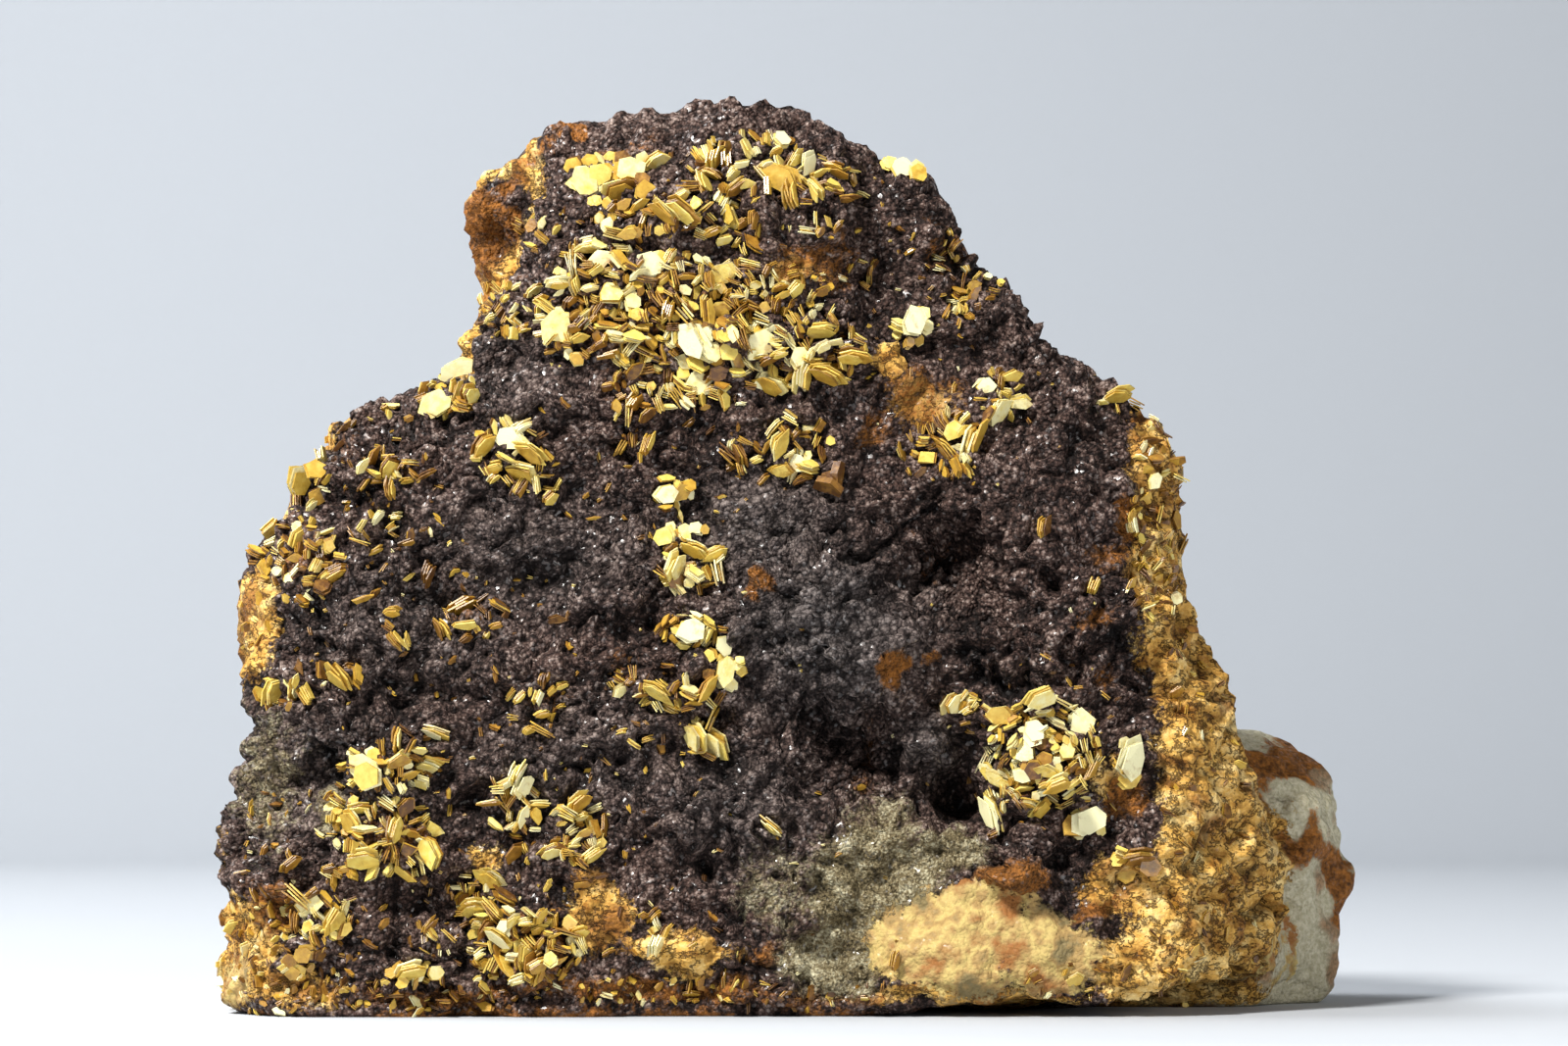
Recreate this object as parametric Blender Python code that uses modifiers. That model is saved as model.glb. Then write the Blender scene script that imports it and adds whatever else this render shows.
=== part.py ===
"""Sericite muscovite: golden mica tablets grown on a rock with a dark iron-oxide crust.

A hand specimen that stands on its flat base. The frame's origin is the middle of the base, with +X to
the viewer's right, +Y away from the viewer and +Z up. Tables and functions work in millimetres, and
the finished meshes are scaled to metres.

The rock is one solid: a front slab with the specimen's outline, a grey schist lobe behind it on the
right and a rusty lump at the upper left, fused, carved with the crust's knobs, ledges and hollows, and
cut flat underneath. Each group of grown-together mica tablets is a solid of its own, seated on it.
"""

import math
from typing import NamedTuple

import bmesh
import bpy
from mathutils import Matrix, Vector, noise
from mathutils.bvhtree import BVHTree

METRES_PER_MM = 0.001

# Driving sizes
CENTRE_SHIFT = (-0.74, -20.43)  # moves the middle of the rock's box to x = y = 0
FUSE_VOXEL = 1.1
CARVED_VOXEL = 0.8
ROCK_TRIANGLES = 4250
SEAT_GAP = 0.3  # clearance between a tablet group and the rock
SEAT_PUSH = 1.15  # the rock's skin is pushed out by this many gaps, as its facets cut corners
BASE_HEIGHT = 1.2  # the rock's lowest part is cut flat here, above the carved outline's z = 0
GROUND_SIZE = 200.0
THINNED_DEPTH = (14.0, 30.0)  # the back is thinned out more from the first depth to the second
FRONT_THINNING = 0.3  # the front's weight in thinning out, where the back's is 1
THINNING_CONTRAST = 4.0
LEAN_DEPTH = (16.0, 46.0)  # the front's lean dies out from the first depth to the second
BLOCKINESS = 0.6  # how far a fully square lump goes towards a block

NOISE_SEED = 7  # fixes the wandering of the relief's outlines

# The rock's roughness: the size and height of its broad swells, lumps and knobs
SWELL_SIZE, SWELL_HEIGHT = 11.0, 1.1
LUMP_SIZE, LUMP_HEIGHT = 4.6, 1.0
KNOB_SIZE, KNOB_HEIGHT = 3.6, 1.5
LUMP_PATTERN_SHIFT = (7.0, 3.0, 1.0)
BACK_LUMPS = 0.55  # the share of the lumps' height that the back has
FRONT_LUMPS = 0.45  # the further share that the front has
FACING_FULL = 0.5  # a surface that faces the viewer this much has the whole relief
CALM_HEIGHT = (0.5, 4.0)  # the roughness grows from the first height above the base to the second
CALM_SHARE = 0.7  # how much of the roughness is missing right at the base


class Tidy(NamedTuple):
    """How far a mesh is simplified: bends flatter than so many degrees and edges shorter than this."""

    bend: float
    shortest_edge: float


GROUP_TIDY = [
    Tidy(18.0, 0.1), Tidy(9.0, 0.04), Tidy(6.0, 0.03), Tidy(3.0, 0.02), Tidy(1.0, 0.01),
    Tidy(0.0, 0.002),
]
ROCK_TIDY = [Tidy(0.5, 0.05), Tidy(0.0, 0.02), Tidy(0.0, 0.002)]

# The front's outline, x and z, clockwise from the lower left tip
FRONT_OUTLINE = [
    (-45.4, 1.6), (-44.7, 9.9), (-45.2, 13.9), (-43.4, 19.0), (-42.8, 25.0), (-43.8, 30.0),
    (-44.2, 34.4), (-41.8, 37.8), (-39.2, 41.6), (-37.6, 46.2), (-35.6, 49.4), (-30.0, 50.2),
    (-26.2, 52.2), (-25.2, 56.0), (-21.9, 60.0), (-21.6, 67.0), (-21.4, 70.8), (-19.2, 73.0),
    (-15.6, 72.6), (-12.4, 73.4), (-9.4, 73.8), (-7.6, 75.4), (-4.4, 75.2), (-1.0, 74.2),
    (1.0, 73.2), (3.6, 72.8), (5.8, 70.3), (9.7, 69.1), (12.2, 66.2), (14.8, 61.6),
    (18.4, 57.8), (21.4, 54.4), (26.6, 51.1), (30.0, 47.2), (31.4, 43.0), (32.2, 38.6),
    (31.4, 34.2), (34.0, 28.2), (36.7, 23.2), (38.0, 15.6), (39.4, 3.8), (24.0, 2.2),
    (6.0, 1.2), (-12.0, 0.2), (-28.0, -0.6), (-38.0, -0.2),
]


# The place that the specimen is looked at from. The x and z of the relief and of the tablets are those
# of the plane y = 0 as seen from here.
EYE = Vector((-0.4, -480.0, 22.5))


class Section(NamedTuple):
    """One section of the front slab: its depth and its size as a share of the outline."""

    depth: float
    share: float


FRONT_SECTIONS = [
    Section(-3.5, 0.86),
    Section(-1.0, 0.94),
    Section(4.0, 1.0),
    Section(16.0, 1.0),
    Section(30.0, 0.95),
    Section(46.0, 0.86),
]
SECTION_CENTRE = (-3.0, 0.0)  # the sections shrink towards this x and z, so the base stays low
FRONT_LEAN = 0.16  # how far the front leans back for each millimetre of height


class Break(NamedTuple):
    """A flat break that cuts the rock: a point on it, and the direction that is cut away."""

    point: tuple
    outward: tuple


FRONT_BREAKS = [
    Break((29.0, -3.5, 18.0), (0.80, -0.58, 0.06)),
    Break((-43.0, 1.0, 31.0), (-0.84, -0.54, 0.02)),
    Break((0.0, 47.0, 12.0), (0.05, 0.90, 0.42)),
    Break((-34.0, 34.0, 22.0), (-0.72, 0.66, 0.20)),
    Break((24.0, 30.0, 40.0), (0.62, 0.62, 0.48)),
    Break((-10.0, 30.0, 62.0), (-0.20, 0.80, 0.56)),
    Break((-20.0, 44.0, 6.0), (-0.20, 0.93, -0.30)),
]


class Lump(NamedTuple):
    """A rounded or blocky mass fused to the slab: centre, radii, turns about X, Y and Z in degrees."""

    centre: tuple
    radii: tuple
    turn: tuple
    squareness: float  # 0 is an ellipsoid, 1 is nearly a block


LUMPS = [
    # the grey schist lobe and its rusty slab, behind on the right
    Lump((35.7, 29.0, 10.7), (9.2, 14.0, 13.0), (0, 15, -8), 0.55),
    Lump((38.6, 30.0, 5.6), (5.8, 10.0, 6.8), (0, 0, 10), 0.8),
    Lump((42.6, 27.0, 12.9), (6.0, 5.0, 2.0), (0, 32, 6), 0.8),
    # the rusty lump behind the upper left shoulder
    Lump((-23.1, 19.0, 64.4), (3.2, 5.0, 3.8), (0, -12, 10), 0.3),
    Lump((-22.4, 20.0, 68.0), (1.8, 3.4, 1.8), (0, 20, 0), 0.5),
    Lump((-23.4, 19.0, 60.8), (2.0, 4.0, 2.4), (0, 0, 0), 0.4),
    # the foot that carries the rock, set back under the front's lower edge
    Lump((-6.0, 21.0, 5.0), (36.0, 18.0, 5.0), (0, 0, 2), 0.8),
    Lump((28.0, 27.0, 5.0), (15.0, 14.0, 5.4), (0, 0, -12), 0.8),
]


class Relief(NamedTuple):
    """A raised or sunk form of the front: its middle, its reach sideways, down and up, and its height.

    A negative height is a hollow. A steep one has a flat top and an edge that drops off sharply.
    """

    x: float
    z: float
    across: float
    down: float
    up: float
    height: float
    steep: bool = False


RELIEF = [
    # the crown and the furrow on its right
    Relief(-9.0, 63.0, 11.0, 8.0, 6.0, 2.2),
    Relief(1.0, 63.5, 4.5, 5.0, 4.5, 1.8, True),
    Relief(6.6, 62.0, 2.2, 6.0, 6.5, -4.6),
    Relief(10.8, 60.0, 4.0, 6.0, 6.0, -2.6),
    Relief(2.0, 58.8, 3.6, 1.8, 1.8, -1.4),
    Relief(-22.2, 60.4, 2.0, 2.6, 2.6, -3.4),
    # the mica field
    Relief(-11.0, 55.0, 11.0, 5.0, 5.0, 1.8),
    Relief(7.6, 51.8, 1.8, 2.0, 2.4, 2.0, True),
    Relief(0.6, 45.6, 3.4, 2.4, 3.4, 1.2),
    # the purple masses down the right side
    Relief(16.6, 54.6, 2.9, 1.9, 2.2, 3.6, True),
    Relief(21.8, 50.4, 3.4, 3.0, 2.6, 2.2, True),
    Relief(14.0, 52.2, 4.0, 1.4, 1.0, -1.8),
    Relief(21.0, 44.0, 6.4, 4.6, 3.4, 3.0),
    Relief(19.6, 37.6, 4.6, 2.4, 4.0, 2.4),
    Relief(22.4, 32.6, 5.0, 3.0, 3.4, 2.6),
    Relief(25.0, 27.4, 4.0, 3.0, 2.0, -1.4),
    # the deep hollow between the masses
    Relief(12.4, 35.6, 3.0, 3.4, 2.6, -7.5, True),
    Relief(9.2, 34.0, 1.8, 2.0, 2.2, -5.5),
    Relief(8.6, 37.0, 2.4, 1.2, 1.6, 2.4),
    Relief(9.4, 32.2, 1.4, 1.2, 1.6, 2.6),
    Relief(14.6, 30.6, 2.6, 2.2, 1.6, 2.0),
    # the grey boss and its sharp lower ledge
    Relief(2.6, 31.2, 6.6, 5.4, 5.6, 4.6, True),
    Relief(-1.6, 37.0, 3.4, 3.4, 3.0, 1.8),
    Relief(6.6, 27.6, 3.0, 1.8, 2.6, 1.8, True),
    # the recess under the ledge, with a dark knob in it
    Relief(4.6, 21.6, 3.6, 4.4, 3.2, -5.0, True),
    Relief(9.6, 20.0, 5.2, 3.4, 4.4, -4.0),
    Relief(12.6, 18.9, 2.2, 2.0, 1.8, -5.0, True),
    Relief(9.2, 21.6, 2.4, 2.4, 2.6, 4.6),
    Relief(-0.6, 20.0, 3.0, 2.4, 2.4, 1.2),
    # the lower right: mica dome, clay-like block, rusty wedge and mica lens
    Relief(20.2, 21.4, 5.2, 4.8, 4.8, 3.4),
    Relief(16.0, 5.8, 8.6, 4.6, 4.4, 2.6, True),
    Relief(17.4, 12.4, 2.8, 1.1, 1.8, 3.2, True),
    Relief(21.8, 11.6, 1.8, 1.2, 1.6, -2.2),
    Relief(27.0, 13.0, 2.8, 1.2, 1.6, 2.6, True),
    Relief(8.6, 13.6, 3.6, 3.0, 2.6, -1.6),
    Relief(11.4, 15.2, 1.4, 1.8, 1.4, 1.6),
    Relief(3.6, 6.6, 1.8, 1.4, 1.4, -2.2),
    # the dark mass below the middle and the lip along the bottom
    Relief(-8.2, 16.6, 5.6, 3.2, 3.6, 2.6, True),
    Relief(-12.6, 12.8, 1.8, 1.4, 1.4, -1.8),
    Relief(-14.4, 9.0, 3.0, 2.8, 3.0, 1.4),
    Relief(-7.0, 5.4, 6.0, 0.9, 1.4, 1.6, True),
    # the left side: mica mounds, ripples and the shaded ledge beneath them
    Relief(-30.6, 15.4, 4.6, 3.6, 3.4, 2.8),
    Relief(-31.8, 20.4, 3.0, 2.0, 2.2, 2.2),
    Relief(-36.6, 19.4, 2.4, 1.4, 1.2, -2.0),
    Relief(-28.8, 9.8, 5.4, 1.8, 1.2, -1.8),
    Relief(-29.0, 5.4, 4.0, 2.2, 1.8, 1.4),
    Relief(-36.0, 8.0, 3.6, 3.0, 2.6, 1.6),
    Relief(-42.6, 14.0, 2.2, 3.4, 3.0, 1.4),
    Relief(-21.2, 7.0, 4.8, 3.0, 3.4, 1.8),
    Relief(-16.6, 15.6, 3.0, 2.6, 2.4, 1.4),
    Relief(-22.6, 19.6, 4.0, 1.0, 2.4, 1.4, True),
    Relief(-24.4, 17.6, 2.2, 1.4, 1.4, -1.6),
    Relief(-37.0, 23.4, 5.0, 2.2, 2.6, 1.2),
    Relief(-33.0, 30.4, 6.0, 1.2, 2.2, 1.6, True),
    Relief(-22.0, 29.4, 7.0, 1.6, 2.0, 1.2),
    Relief(-26.4, 34.6, 5.0, 1.6, 1.4, -1.2),
    Relief(-22.0, 37.4, 5.4, 1.4, 2.4, 1.8, True),
    Relief(-14.6, 33.4, 4.4, 1.2, 2.4, 1.4, True),
    Relief(-37.6, 36.8, 3.6, 3.0, 2.6, 1.8),
    Relief(-33.0, 43.8, 4.2, 2.6, 3.0, 1.6),
    Relief(-20.4, 48.4, 4.4, 2.4, 2.4, 1.6),
    Relief(-21.4, 44.6, 3.0, 2.0, 2.0, 1.0),
    Relief(-15.4, 42.4, 3.2, 2.0, 2.4, -1.2),
    Relief(-7.6, 28.6, 3.4, 3.2, 3.0, 1.0),
    Relief(-12.6, 23.6, 4.0, 1.0, 2.0, 1.0, True),
    Relief(-2.4, 24.0, 3.0, 1.2, 1.2, -1.6),
]
WANDER = 1.8
WANDER_SIZE = 4.2
RELIEF_DEPTH = (9.0, 22.0)  # the relief is whole in front of the first depth and gone behind the second


class Tablet(NamedTuple):
    """One mica tablet: its place on the front, its width, the way it runs, and how far it stands up.

    run is the angle of its long side to +X, and tip is its tilt out of the surface, 0 for one that
    lies flat with its six-sided face to the viewer and 90 for one seen on its edge.
    """

    x: float
    z: float
    width: float
    run: float
    tip: float


class Group(NamedTuple):
    """Tablets grown together on one low mound, with the mound's middle, half width and half height."""

    name: str
    mound: tuple
    tablets: list


GROUPS = [
    Group("crown_left_tablets", (-13.6, 66.2, 3.4, 1.3), [
        Tablet(-15.8, 66.1, 3.1, 80, 14), Tablet(-12.3, 66.5, 3.0, 20, 20),
        Tablet(-13.1, 64.9, 3.4, 24, 48), Tablet(-10.4, 67.1, 2.5, 28, 52),
    ]),
    Group("crown_fan", (-5.5, 66.05, 1.7, 1.7), [
        Tablet(-5.9, 67.55, 2.4, 82, 60), Tablet(-6.7, 65.55, 2.5, 116, 48),
        Tablet(-5.4, 65.25, 2.3, 62, 40), Tablet(-4.4, 65.35, 2.5, 42, 60),
    ]),
    Group("crown_top_tablets", (-1.9, 68.7, 2.0, 0.9), [
        Tablet(-3.3, 68.8, 2.0, 10, 22), Tablet(-1.9, 69.0, 2.1, 62, 40),
        Tablet(-0.6, 68.8, 2.0, 130, 26),
    ]),
    Group("crown_right_spray", (0.6, 66.2, 2.5, 1.4), [
        Tablet(-0.6, 65.8, 3.2, -18, 34), Tablet(1.9, 65.0, 2.5, -58, 66),
        Tablet(2.9, 65.9, 2.3, -16, 60),
    ]),
    Group("upper_left_blades", (-10.6, 62.9, 4.0, 1.2), [
        Tablet(-13.3, 63.7, 2.7, 26, 46), Tablet(-10.9, 63.2, 2.4, 66, 50),
        Tablet(-14.2, 62.5, 2.5, 14, 70), Tablet(-9.6, 63.1, 3.3, -40, 50),
        Tablet(-8.3, 63.4, 3.0, -34, 48), Tablet(-7.5, 62.2, 2.2, 20, 36),
    ]),
    Group("upper_right_blades", (-4.1, 61.55, 1.8, 1.2), [
        Tablet(-4.4, 62.55, 2.6, -66, 40), Tablet(-3.1, 61.05, 2.7, -36, 58),
        Tablet(-5, 61.25, 2.2, 26, 60),
    ]),
    Group("field_top_left", (-15.6, 58.4, 2.2, 1.6), [
        Tablet(-14.6, 59.4, 2.0, 40, 16), Tablet(-16.4, 59.6, 2.4, 60, 52),
        Tablet(-15.8, 58.0, 2.6, 5, 40),
    ]),
    Group("field_top_middle", (-10.6, 58, 2.2, 1.9), [
        Tablet(-10.7, 59.3, 3.2, 20, 16), Tablet(-12.1, 57.4, 2.4, 80, 40),
        Tablet(-8.8, 58.1, 2.4, 120, 58),
    ]),
    Group("field_top_right", (-4.4, 57.6, 2.8, 1.6), [
        Tablet(-5.2, 58.5, 2.6, 10, 34), Tablet(-3.2, 58.1, 2.4, -6, 36),
        Tablet(-5.9, 56.8, 2.4, 60, 60),
    ]),
    Group("field_left_wing", (-21.8, 56.2, 2.6, 1.1), [
        Tablet(-23.6, 55.6, 2.3, -24, 54), Tablet(-22.0, 56.9, 2.2, -60, 64),
        Tablet(-20.4, 56.0, 2.5, -58, 62),
    ]),
    Group("field_left_hexagon", (-17.6, 54.6, 1.8, 1.4), [
        Tablet(-18.0, 54.6, 3.4, 50, 16), Tablet(-17.4, 56.0, 1.8, 0, 40),
        Tablet(-15.9, 54.4, 2.2, 70, 50),
    ]),
    Group("field_middle", (-12.7, 53.6, 2.0, 1.7), [
        Tablet(-13.9, 54.6, 2.6, 60, 50), Tablet(-12.7, 52.9, 2.2, 44, 58),
        Tablet(-11.1, 54.3, 2.6, -40, 50),
    ]),
    Group("field_pale_mass", (-6.9, 52.6, 2.0, 2.6), [
        Tablet(-7.8, 54.2, 3.4, -50, 30), Tablet(-6.2, 52.6, 2.8, 118, 34),
        Tablet(-6.6, 50.1, 2.7, 14, 14), Tablet(-8.6, 51.6, 2.3, -30, 50),
        Tablet(-5.3, 54.4, 2.4, 44, 60),
    ]),
    Group("field_lower_left", (-10.8, 50.2, 2.4, 1.6), [
        Tablet(-12.9, 49.6, 2.6, 6, 46), Tablet(-10.6, 50.8, 2.6, -30, 52),
        Tablet(-9.6, 49.2, 2.4, 50, 56),
    ]),
    Group("field_right", (-1.4, 51.6, 2.2, 1.9), [
        Tablet(-2.3, 53.2, 3.0, 24, 24), Tablet(0.8, 52.1, 2.2, 70, 26),
        Tablet(-0.9, 49.9, 3.2, -22, 44),
    ]),
    Group("field_right_fans", (3.6, 52.4, 2.2, 1.6), [
        Tablet(2.5, 54.0, 3.0, 8, 54), Tablet(2.9, 52.0, 2.6, 96, 68),
        Tablet(5.2, 52.1, 3.4, -10, 44), Tablet(3.2, 50.5, 3.0, -30, 60),
    ]),
    Group("clear_hexagon", (9.5, 54.4, 1.0, 1.0), [
        Tablet(9.6, 54.7, 2.6, 60, 22), Tablet(8.9, 53.9, 2.0, 20, 30),
    ]),
    Group("right_ridge_tablets", (16.2, 49.1, 1.4, 1.6), [
        Tablet(15.3, 49.8, 2.0, 10, 20), Tablet(15.7, 50.8, 2.0, -40, 56),
        Tablet(16.3, 47.9, 2.8, 56, 40),
    ]),
    Group("star_cluster", (12.6, 45.6, 1.9, 1.7), [
        Tablet(12.7, 46.3, 2.2, 20, 18), Tablet(14.2, 45.3, 3.4, 70, 62),
        Tablet(12.3, 44.7, 2.6, -50, 64),
    ]),
    Group("lower_fan", (0.9, 45.4, 1.7, 1.6), [
        Tablet(-0.6, 45.3, 2.5, 66, 42), Tablet(0.9, 43.9, 2.0, 0, 16),
        Tablet(2.7, 47.4, 2.3, 30, 40),
    ]),
    Group("open_box_tablets", (3.2, 42.6, 1.0, 0.9), [
        Tablet(3.8, 42.9, 2.1, 84, 64), Tablet(3.0, 41.9, 2.2, -26, 60),
    ]),
    Group("middle_pair", (-3.75, 44.8, 1.1, 0.9), [
        Tablet(-4.25, 44.5, 2.6, -66, 58), Tablet(-3.25, 44.8, 2.5, -56, 58),
    ]),
    Group("hexagon_pair", (-9.0, 41.9, 1.2, 1.1), [
        Tablet(-9.3, 41.5, 2.2, 10, 14), Tablet(-8.5, 42.7, 2.0, 60, 40),
    ]),
    Group("bow_cluster", (-8.6, 35.8, 1.9, 1.4), [
        Tablet(-7.3, 37.1, 2.6, -30, 50), Tablet(-5.9, 36.8, 2.3, 26, 48),
        Tablet(-8.8, 35.9, 2.9, 68, 34), Tablet(-9.6, 34.4, 2.6, 58, 54),
    ]),
    Group("ring_cluster_top", (-7.4, 30.6, 1.7, 1.2), [
        Tablet(-7.6, 30.8, 2.6, 20, 16), Tablet(-9.4, 29.8, 2.4, -55, 54),
        Tablet(-6.2, 30.7, 2.2, -64, 54),
    ]),
    Group("ring_cluster_lower", (-7.6, 26.4, 3.0, 1.1), [
        Tablet(-5.1, 27.5, 2.4, 84, 22), Tablet(-10.4, 26.2, 3.1, -34, 44),
        Tablet(-8.6, 25.6, 2.5, 16, 50),
    ]),
    Group("lower_blade_pair", (-6.4, 22.6, 1.3, 1.1), [
        Tablet(-7.3, 22.6, 3.4, -62, 50), Tablet(-5.7, 22.1, 3.0, -46, 46),
        Tablet(-6.2, 23.4, 1.8, 0, 16),
    ]),
    Group("left_white_tablets", (-21.4, 44.6, 2.2, 1.6), [
        Tablet(-21.8, 45.9, 2.5, 10, 12), Tablet(-23.5, 45.2, 3.0, 52, 58),
        Tablet(-20.2, 44.7, 3.0, -34, 44), Tablet(-20.8, 43.2, 3.2, -20, 34),
    ]),
    Group("left_shoulder_tablets", (-26.6, 49.6, 2.0, 1.6), [
        Tablet(-27.4, 48.4, 2.9, 20, 18), Tablet(-25.5, 50.8, 3.2, 26, 34),
    ]),
    Group("left_edge_tablets", (-37.4, 42.4, 1.5, 1.7), [
        Tablet(-38.0, 42.4, 3.8, 78, 48), Tablet(-36.8, 41.6, 2.4, 40, 30),
        Tablet(-36.4, 44.4, 2.2, 50, 40),
    ]),
    Group("left_upper_tablets", (-30.9, 43.2, 1.9, 1.0), [
        Tablet(-31.2, 43.2, 2.7, 44, 44), Tablet(-29.6, 43.2, 2.2, 78, 28),
        Tablet(-32.8, 42.4, 2.3, 64, 66),
    ]),
    Group("left_cluster", (-37.9, 36.6, 2.6, 2.4), [
        Tablet(-40.4, 37.3, 2.5, 66, 44), Tablet(-38.6, 38.0, 2.4, 60, 56),
        Tablet(-38.6, 34.7, 2.8, -10, 38),
    ]),
    Group("left_single_tablet", (-34.9, 27.3, 1.0, 0.8), [
        Tablet(-34.9, 27.3, 3.2, -44, 32),
    ]),
    Group("left_rim_tablets", (-39.0, 25.9, 1.4, 0.9), [
        Tablet(-39.7, 26.3, 2.5, 60, 46), Tablet(-38.5, 25.9, 2.6, -8, 44),
    ]),
    Group("rosette_left_upper", (-30.9, 20.4, 3.0, 1.5), [
        Tablet(-32.6, 19.8, 3.8, -42, 26), Tablet(-31.1, 21.2, 2.2, 70, 24),
        Tablet(-27.9, 20.5, 2.5, -10, 52),
    ]),
    Group("rosette_left_lower", (-30.8, 14.9, 3.2, 2.2), [
        Tablet(-30.6, 15.2, 2.9, 80, 16), Tablet(-28.7, 15.3, 2.4, -16, 44),
        Tablet(-27.9, 13.7, 2.9, -70, 40), Tablet(-33.0, 13.2, 3.2, 14, 44),
        Tablet(-33.8, 16.0, 2.8, -46, 42),
    ]),
    Group("bottom_left_tablets", (-36.4, 8.6, 1.7, 1.6), [
        Tablet(-37.1, 9.7, 2.4, 0, 20), Tablet(-35.2, 8.4, 2.5, 60, 40),
        Tablet(-37.8, 7.2, 2.2, 76, 44),
    ]),
    Group("bottom_gold_tablet", (-29.2, 4.6, 1.3, 0.9), [
        Tablet(-29.3, 4.7, 2.8, 20, 34), Tablet(-28.1, 4.8, 2.2, 110, 50),
    ]),
    Group("valley_tablets", (-20.6, 17.8, 1.4, 1.2), [
        Tablet(-20.7, 18.6, 2.5, 70, 40), Tablet(-21.3, 17.2, 2.4, -60, 54),
    ]),
    Group("lower_field_upper", (-16.3, 15.6, 2.0, 1.8), [
        Tablet(-16.2, 17.6, 2.4, 44, 48), Tablet(-16.8, 16.0, 2.2, 70, 36),
        Tablet(-17.8, 14.9, 2.2, 20, 30),
    ]),
    Group("lower_field_left", (-23.6, 10.0, 1.7, 1.6), [
        Tablet(-22.9, 11.6, 2.5, -30, 44), Tablet(-24.5, 9.4, 3.2, 8, 34),
    ]),
    Group("lower_field_bottom", (-20.2, 6.2, 2.6, 1.4), [
        Tablet(-22.5, 7.2, 2.6, -30, 36), Tablet(-20.2, 5.9, 2.6, 80, 44),
        Tablet(-17.6, 5.5, 2.4, 30, 40),
    ]),
    Group("recess_blades", (13.4, 25.2, 1.2, 0.8), [
        Tablet(12.7, 25.2, 2.4, 60, 44), Tablet(14.4, 25.3, 2.2, 20, 48),
    ]),
    Group("dome_rosette", (19.8, 22.0, 3.7, 3.3), [
        Tablet(16.4, 24.3, 2.8, 10, 28), Tablet(18.9, 23.1, 2.4, 80, 16),
        Tablet(19.4, 25.5, 2.8, 20, 44), Tablet(22.5, 23.5, 3.1, 80, 18),
        Tablet(23.4, 21.8, 2.3, -20, 44), Tablet(16.6, 21.9, 2.4, -30, 60),
        Tablet(20.9, 19.2, 2.6, 24, 46),
    ]),
    Group("white_sheet", (26.2, 20.6, 1.0, 1.4), [
        Tablet(26.4, 20.9, 3.4, 72, 34),
    ]),
    Group("white_hexagon", (23.0, 16.0, 1.2, 1.0), [
        Tablet(23.2, 15.9, 2.8, 20, 14), Tablet(22.0, 16.6, 2.2, 60, 44),
    ]),
    Group("recess_edge_blade", (15.7, 16.5, 0.9, 1.1), [
        Tablet(15.8, 16.4, 3.4, -60, 46),
    ]),
]
TABLET_THICKNESS = 0.62
TABLET_LENGTH_SHARE = 1.18  # a tablet is this much longer than it is wide
MOUND_HEIGHT = 1.0
MOUND_RISE = 0.2  # how far a mound's middle stands out of the rock
TABLET_RISE = 0.45  # how far a tablet's middle stands out of the rock
OUTWARD_EASE = 0.55  # how far a tablet's outward direction goes from the rock's to the viewer's

ROCK_COLOUR = (0.085, 0.066, 0.062, 1.0)
MICA_COLOUR = (0.66, 0.54, 0.25, 1.0)


def clear_scene():
    """Removes the objects that Blender starts with."""
    for old in list(bpy.data.objects):
        bpy.data.objects.remove(old, do_unlink=True)


def make_material(name, colour, roughness):
    """A plain dielectric surface of one colour."""
    material = bpy.data.materials.new(name)
    material.use_nodes = True
    shader = material.node_tree.nodes["Principled BSDF"]
    shader.inputs["Base Color"].default_value = colour
    shader.inputs["Roughness"].default_value = roughness
    shader.inputs["Metallic"].default_value = 0.0
    material.diffuse_color = colour
    return material


def object_from(bm, name, collection):
    """Puts a bmesh into a new object and frees it."""
    mesh = bpy.data.meshes.new(name)
    bm.to_mesh(mesh)
    bm.free()
    made = bpy.data.objects.new(name, mesh)
    collection.objects.link(made)
    return made


def apply_modifiers(target):
    """Replaces an object's mesh with the one that its modifiers give."""
    bpy.context.view_layer.update()
    graph = bpy.context.evaluated_depsgraph_get()
    made = bpy.data.meshes.new_from_object(target.evaluated_get(graph))
    target.modifiers.clear()
    target.data = made
    return target


def front_slab(collection):
    """The main mass: the outline lofted through its sections, leaned back and broken flat in places."""
    bm = bmesh.new()
    first = FRONT_SECTIONS[0]
    centre_x, centre_z = SECTION_CENTRE

    def placed(x, z, section):
        return Vector((
            centre_x + (x - centre_x) * section.share,
            section.depth,
            centre_z + (z - centre_z) * section.share,
        ))

    ring = [bm.verts.new(placed(x, z, first)) for x, z in FRONT_OUTLINE]
    face = bm.faces.new(ring)
    for section in FRONT_SECTIONS[1:]:
        grown = bmesh.ops.extrude_face_region(bm, geom=[face])["geom"]
        face = next(item for item in grown if isinstance(item, bmesh.types.BMFace))
        for corner in face.verts:
            x, z = nearest_outline_point(corner.co, centre_x, centre_z, previous_share(section))
            corner.co = placed(x, z, section)
    bmesh.ops.recalc_face_normals(bm, faces=bm.faces)
    for corner in bm.verts:
        front_share = 1.0 - smooth_step(corner.co.y, *LEAN_DEPTH)
        corner.co.y += FRONT_LEAN * corner.co.z * front_share
    bmesh.ops.triangulate(bm, faces=bm.faces)
    slab = fuse([object_from(bm, "outline", collection)], "front_slab", FUSE_VOXEL, collection)
    for corner in slab.data.vertices:
        for flat in FRONT_BREAKS:
            outward = Vector(flat.outward).normalized()
            beyond = (corner.co - Vector(flat.point)).dot(outward)
            if beyond > 0.0:
                corner.co -= outward * beyond
    return slab


def previous_share(section):
    """The share of the section in front of this one."""
    return FRONT_SECTIONS[FRONT_SECTIONS.index(section) - 1].share


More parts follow.
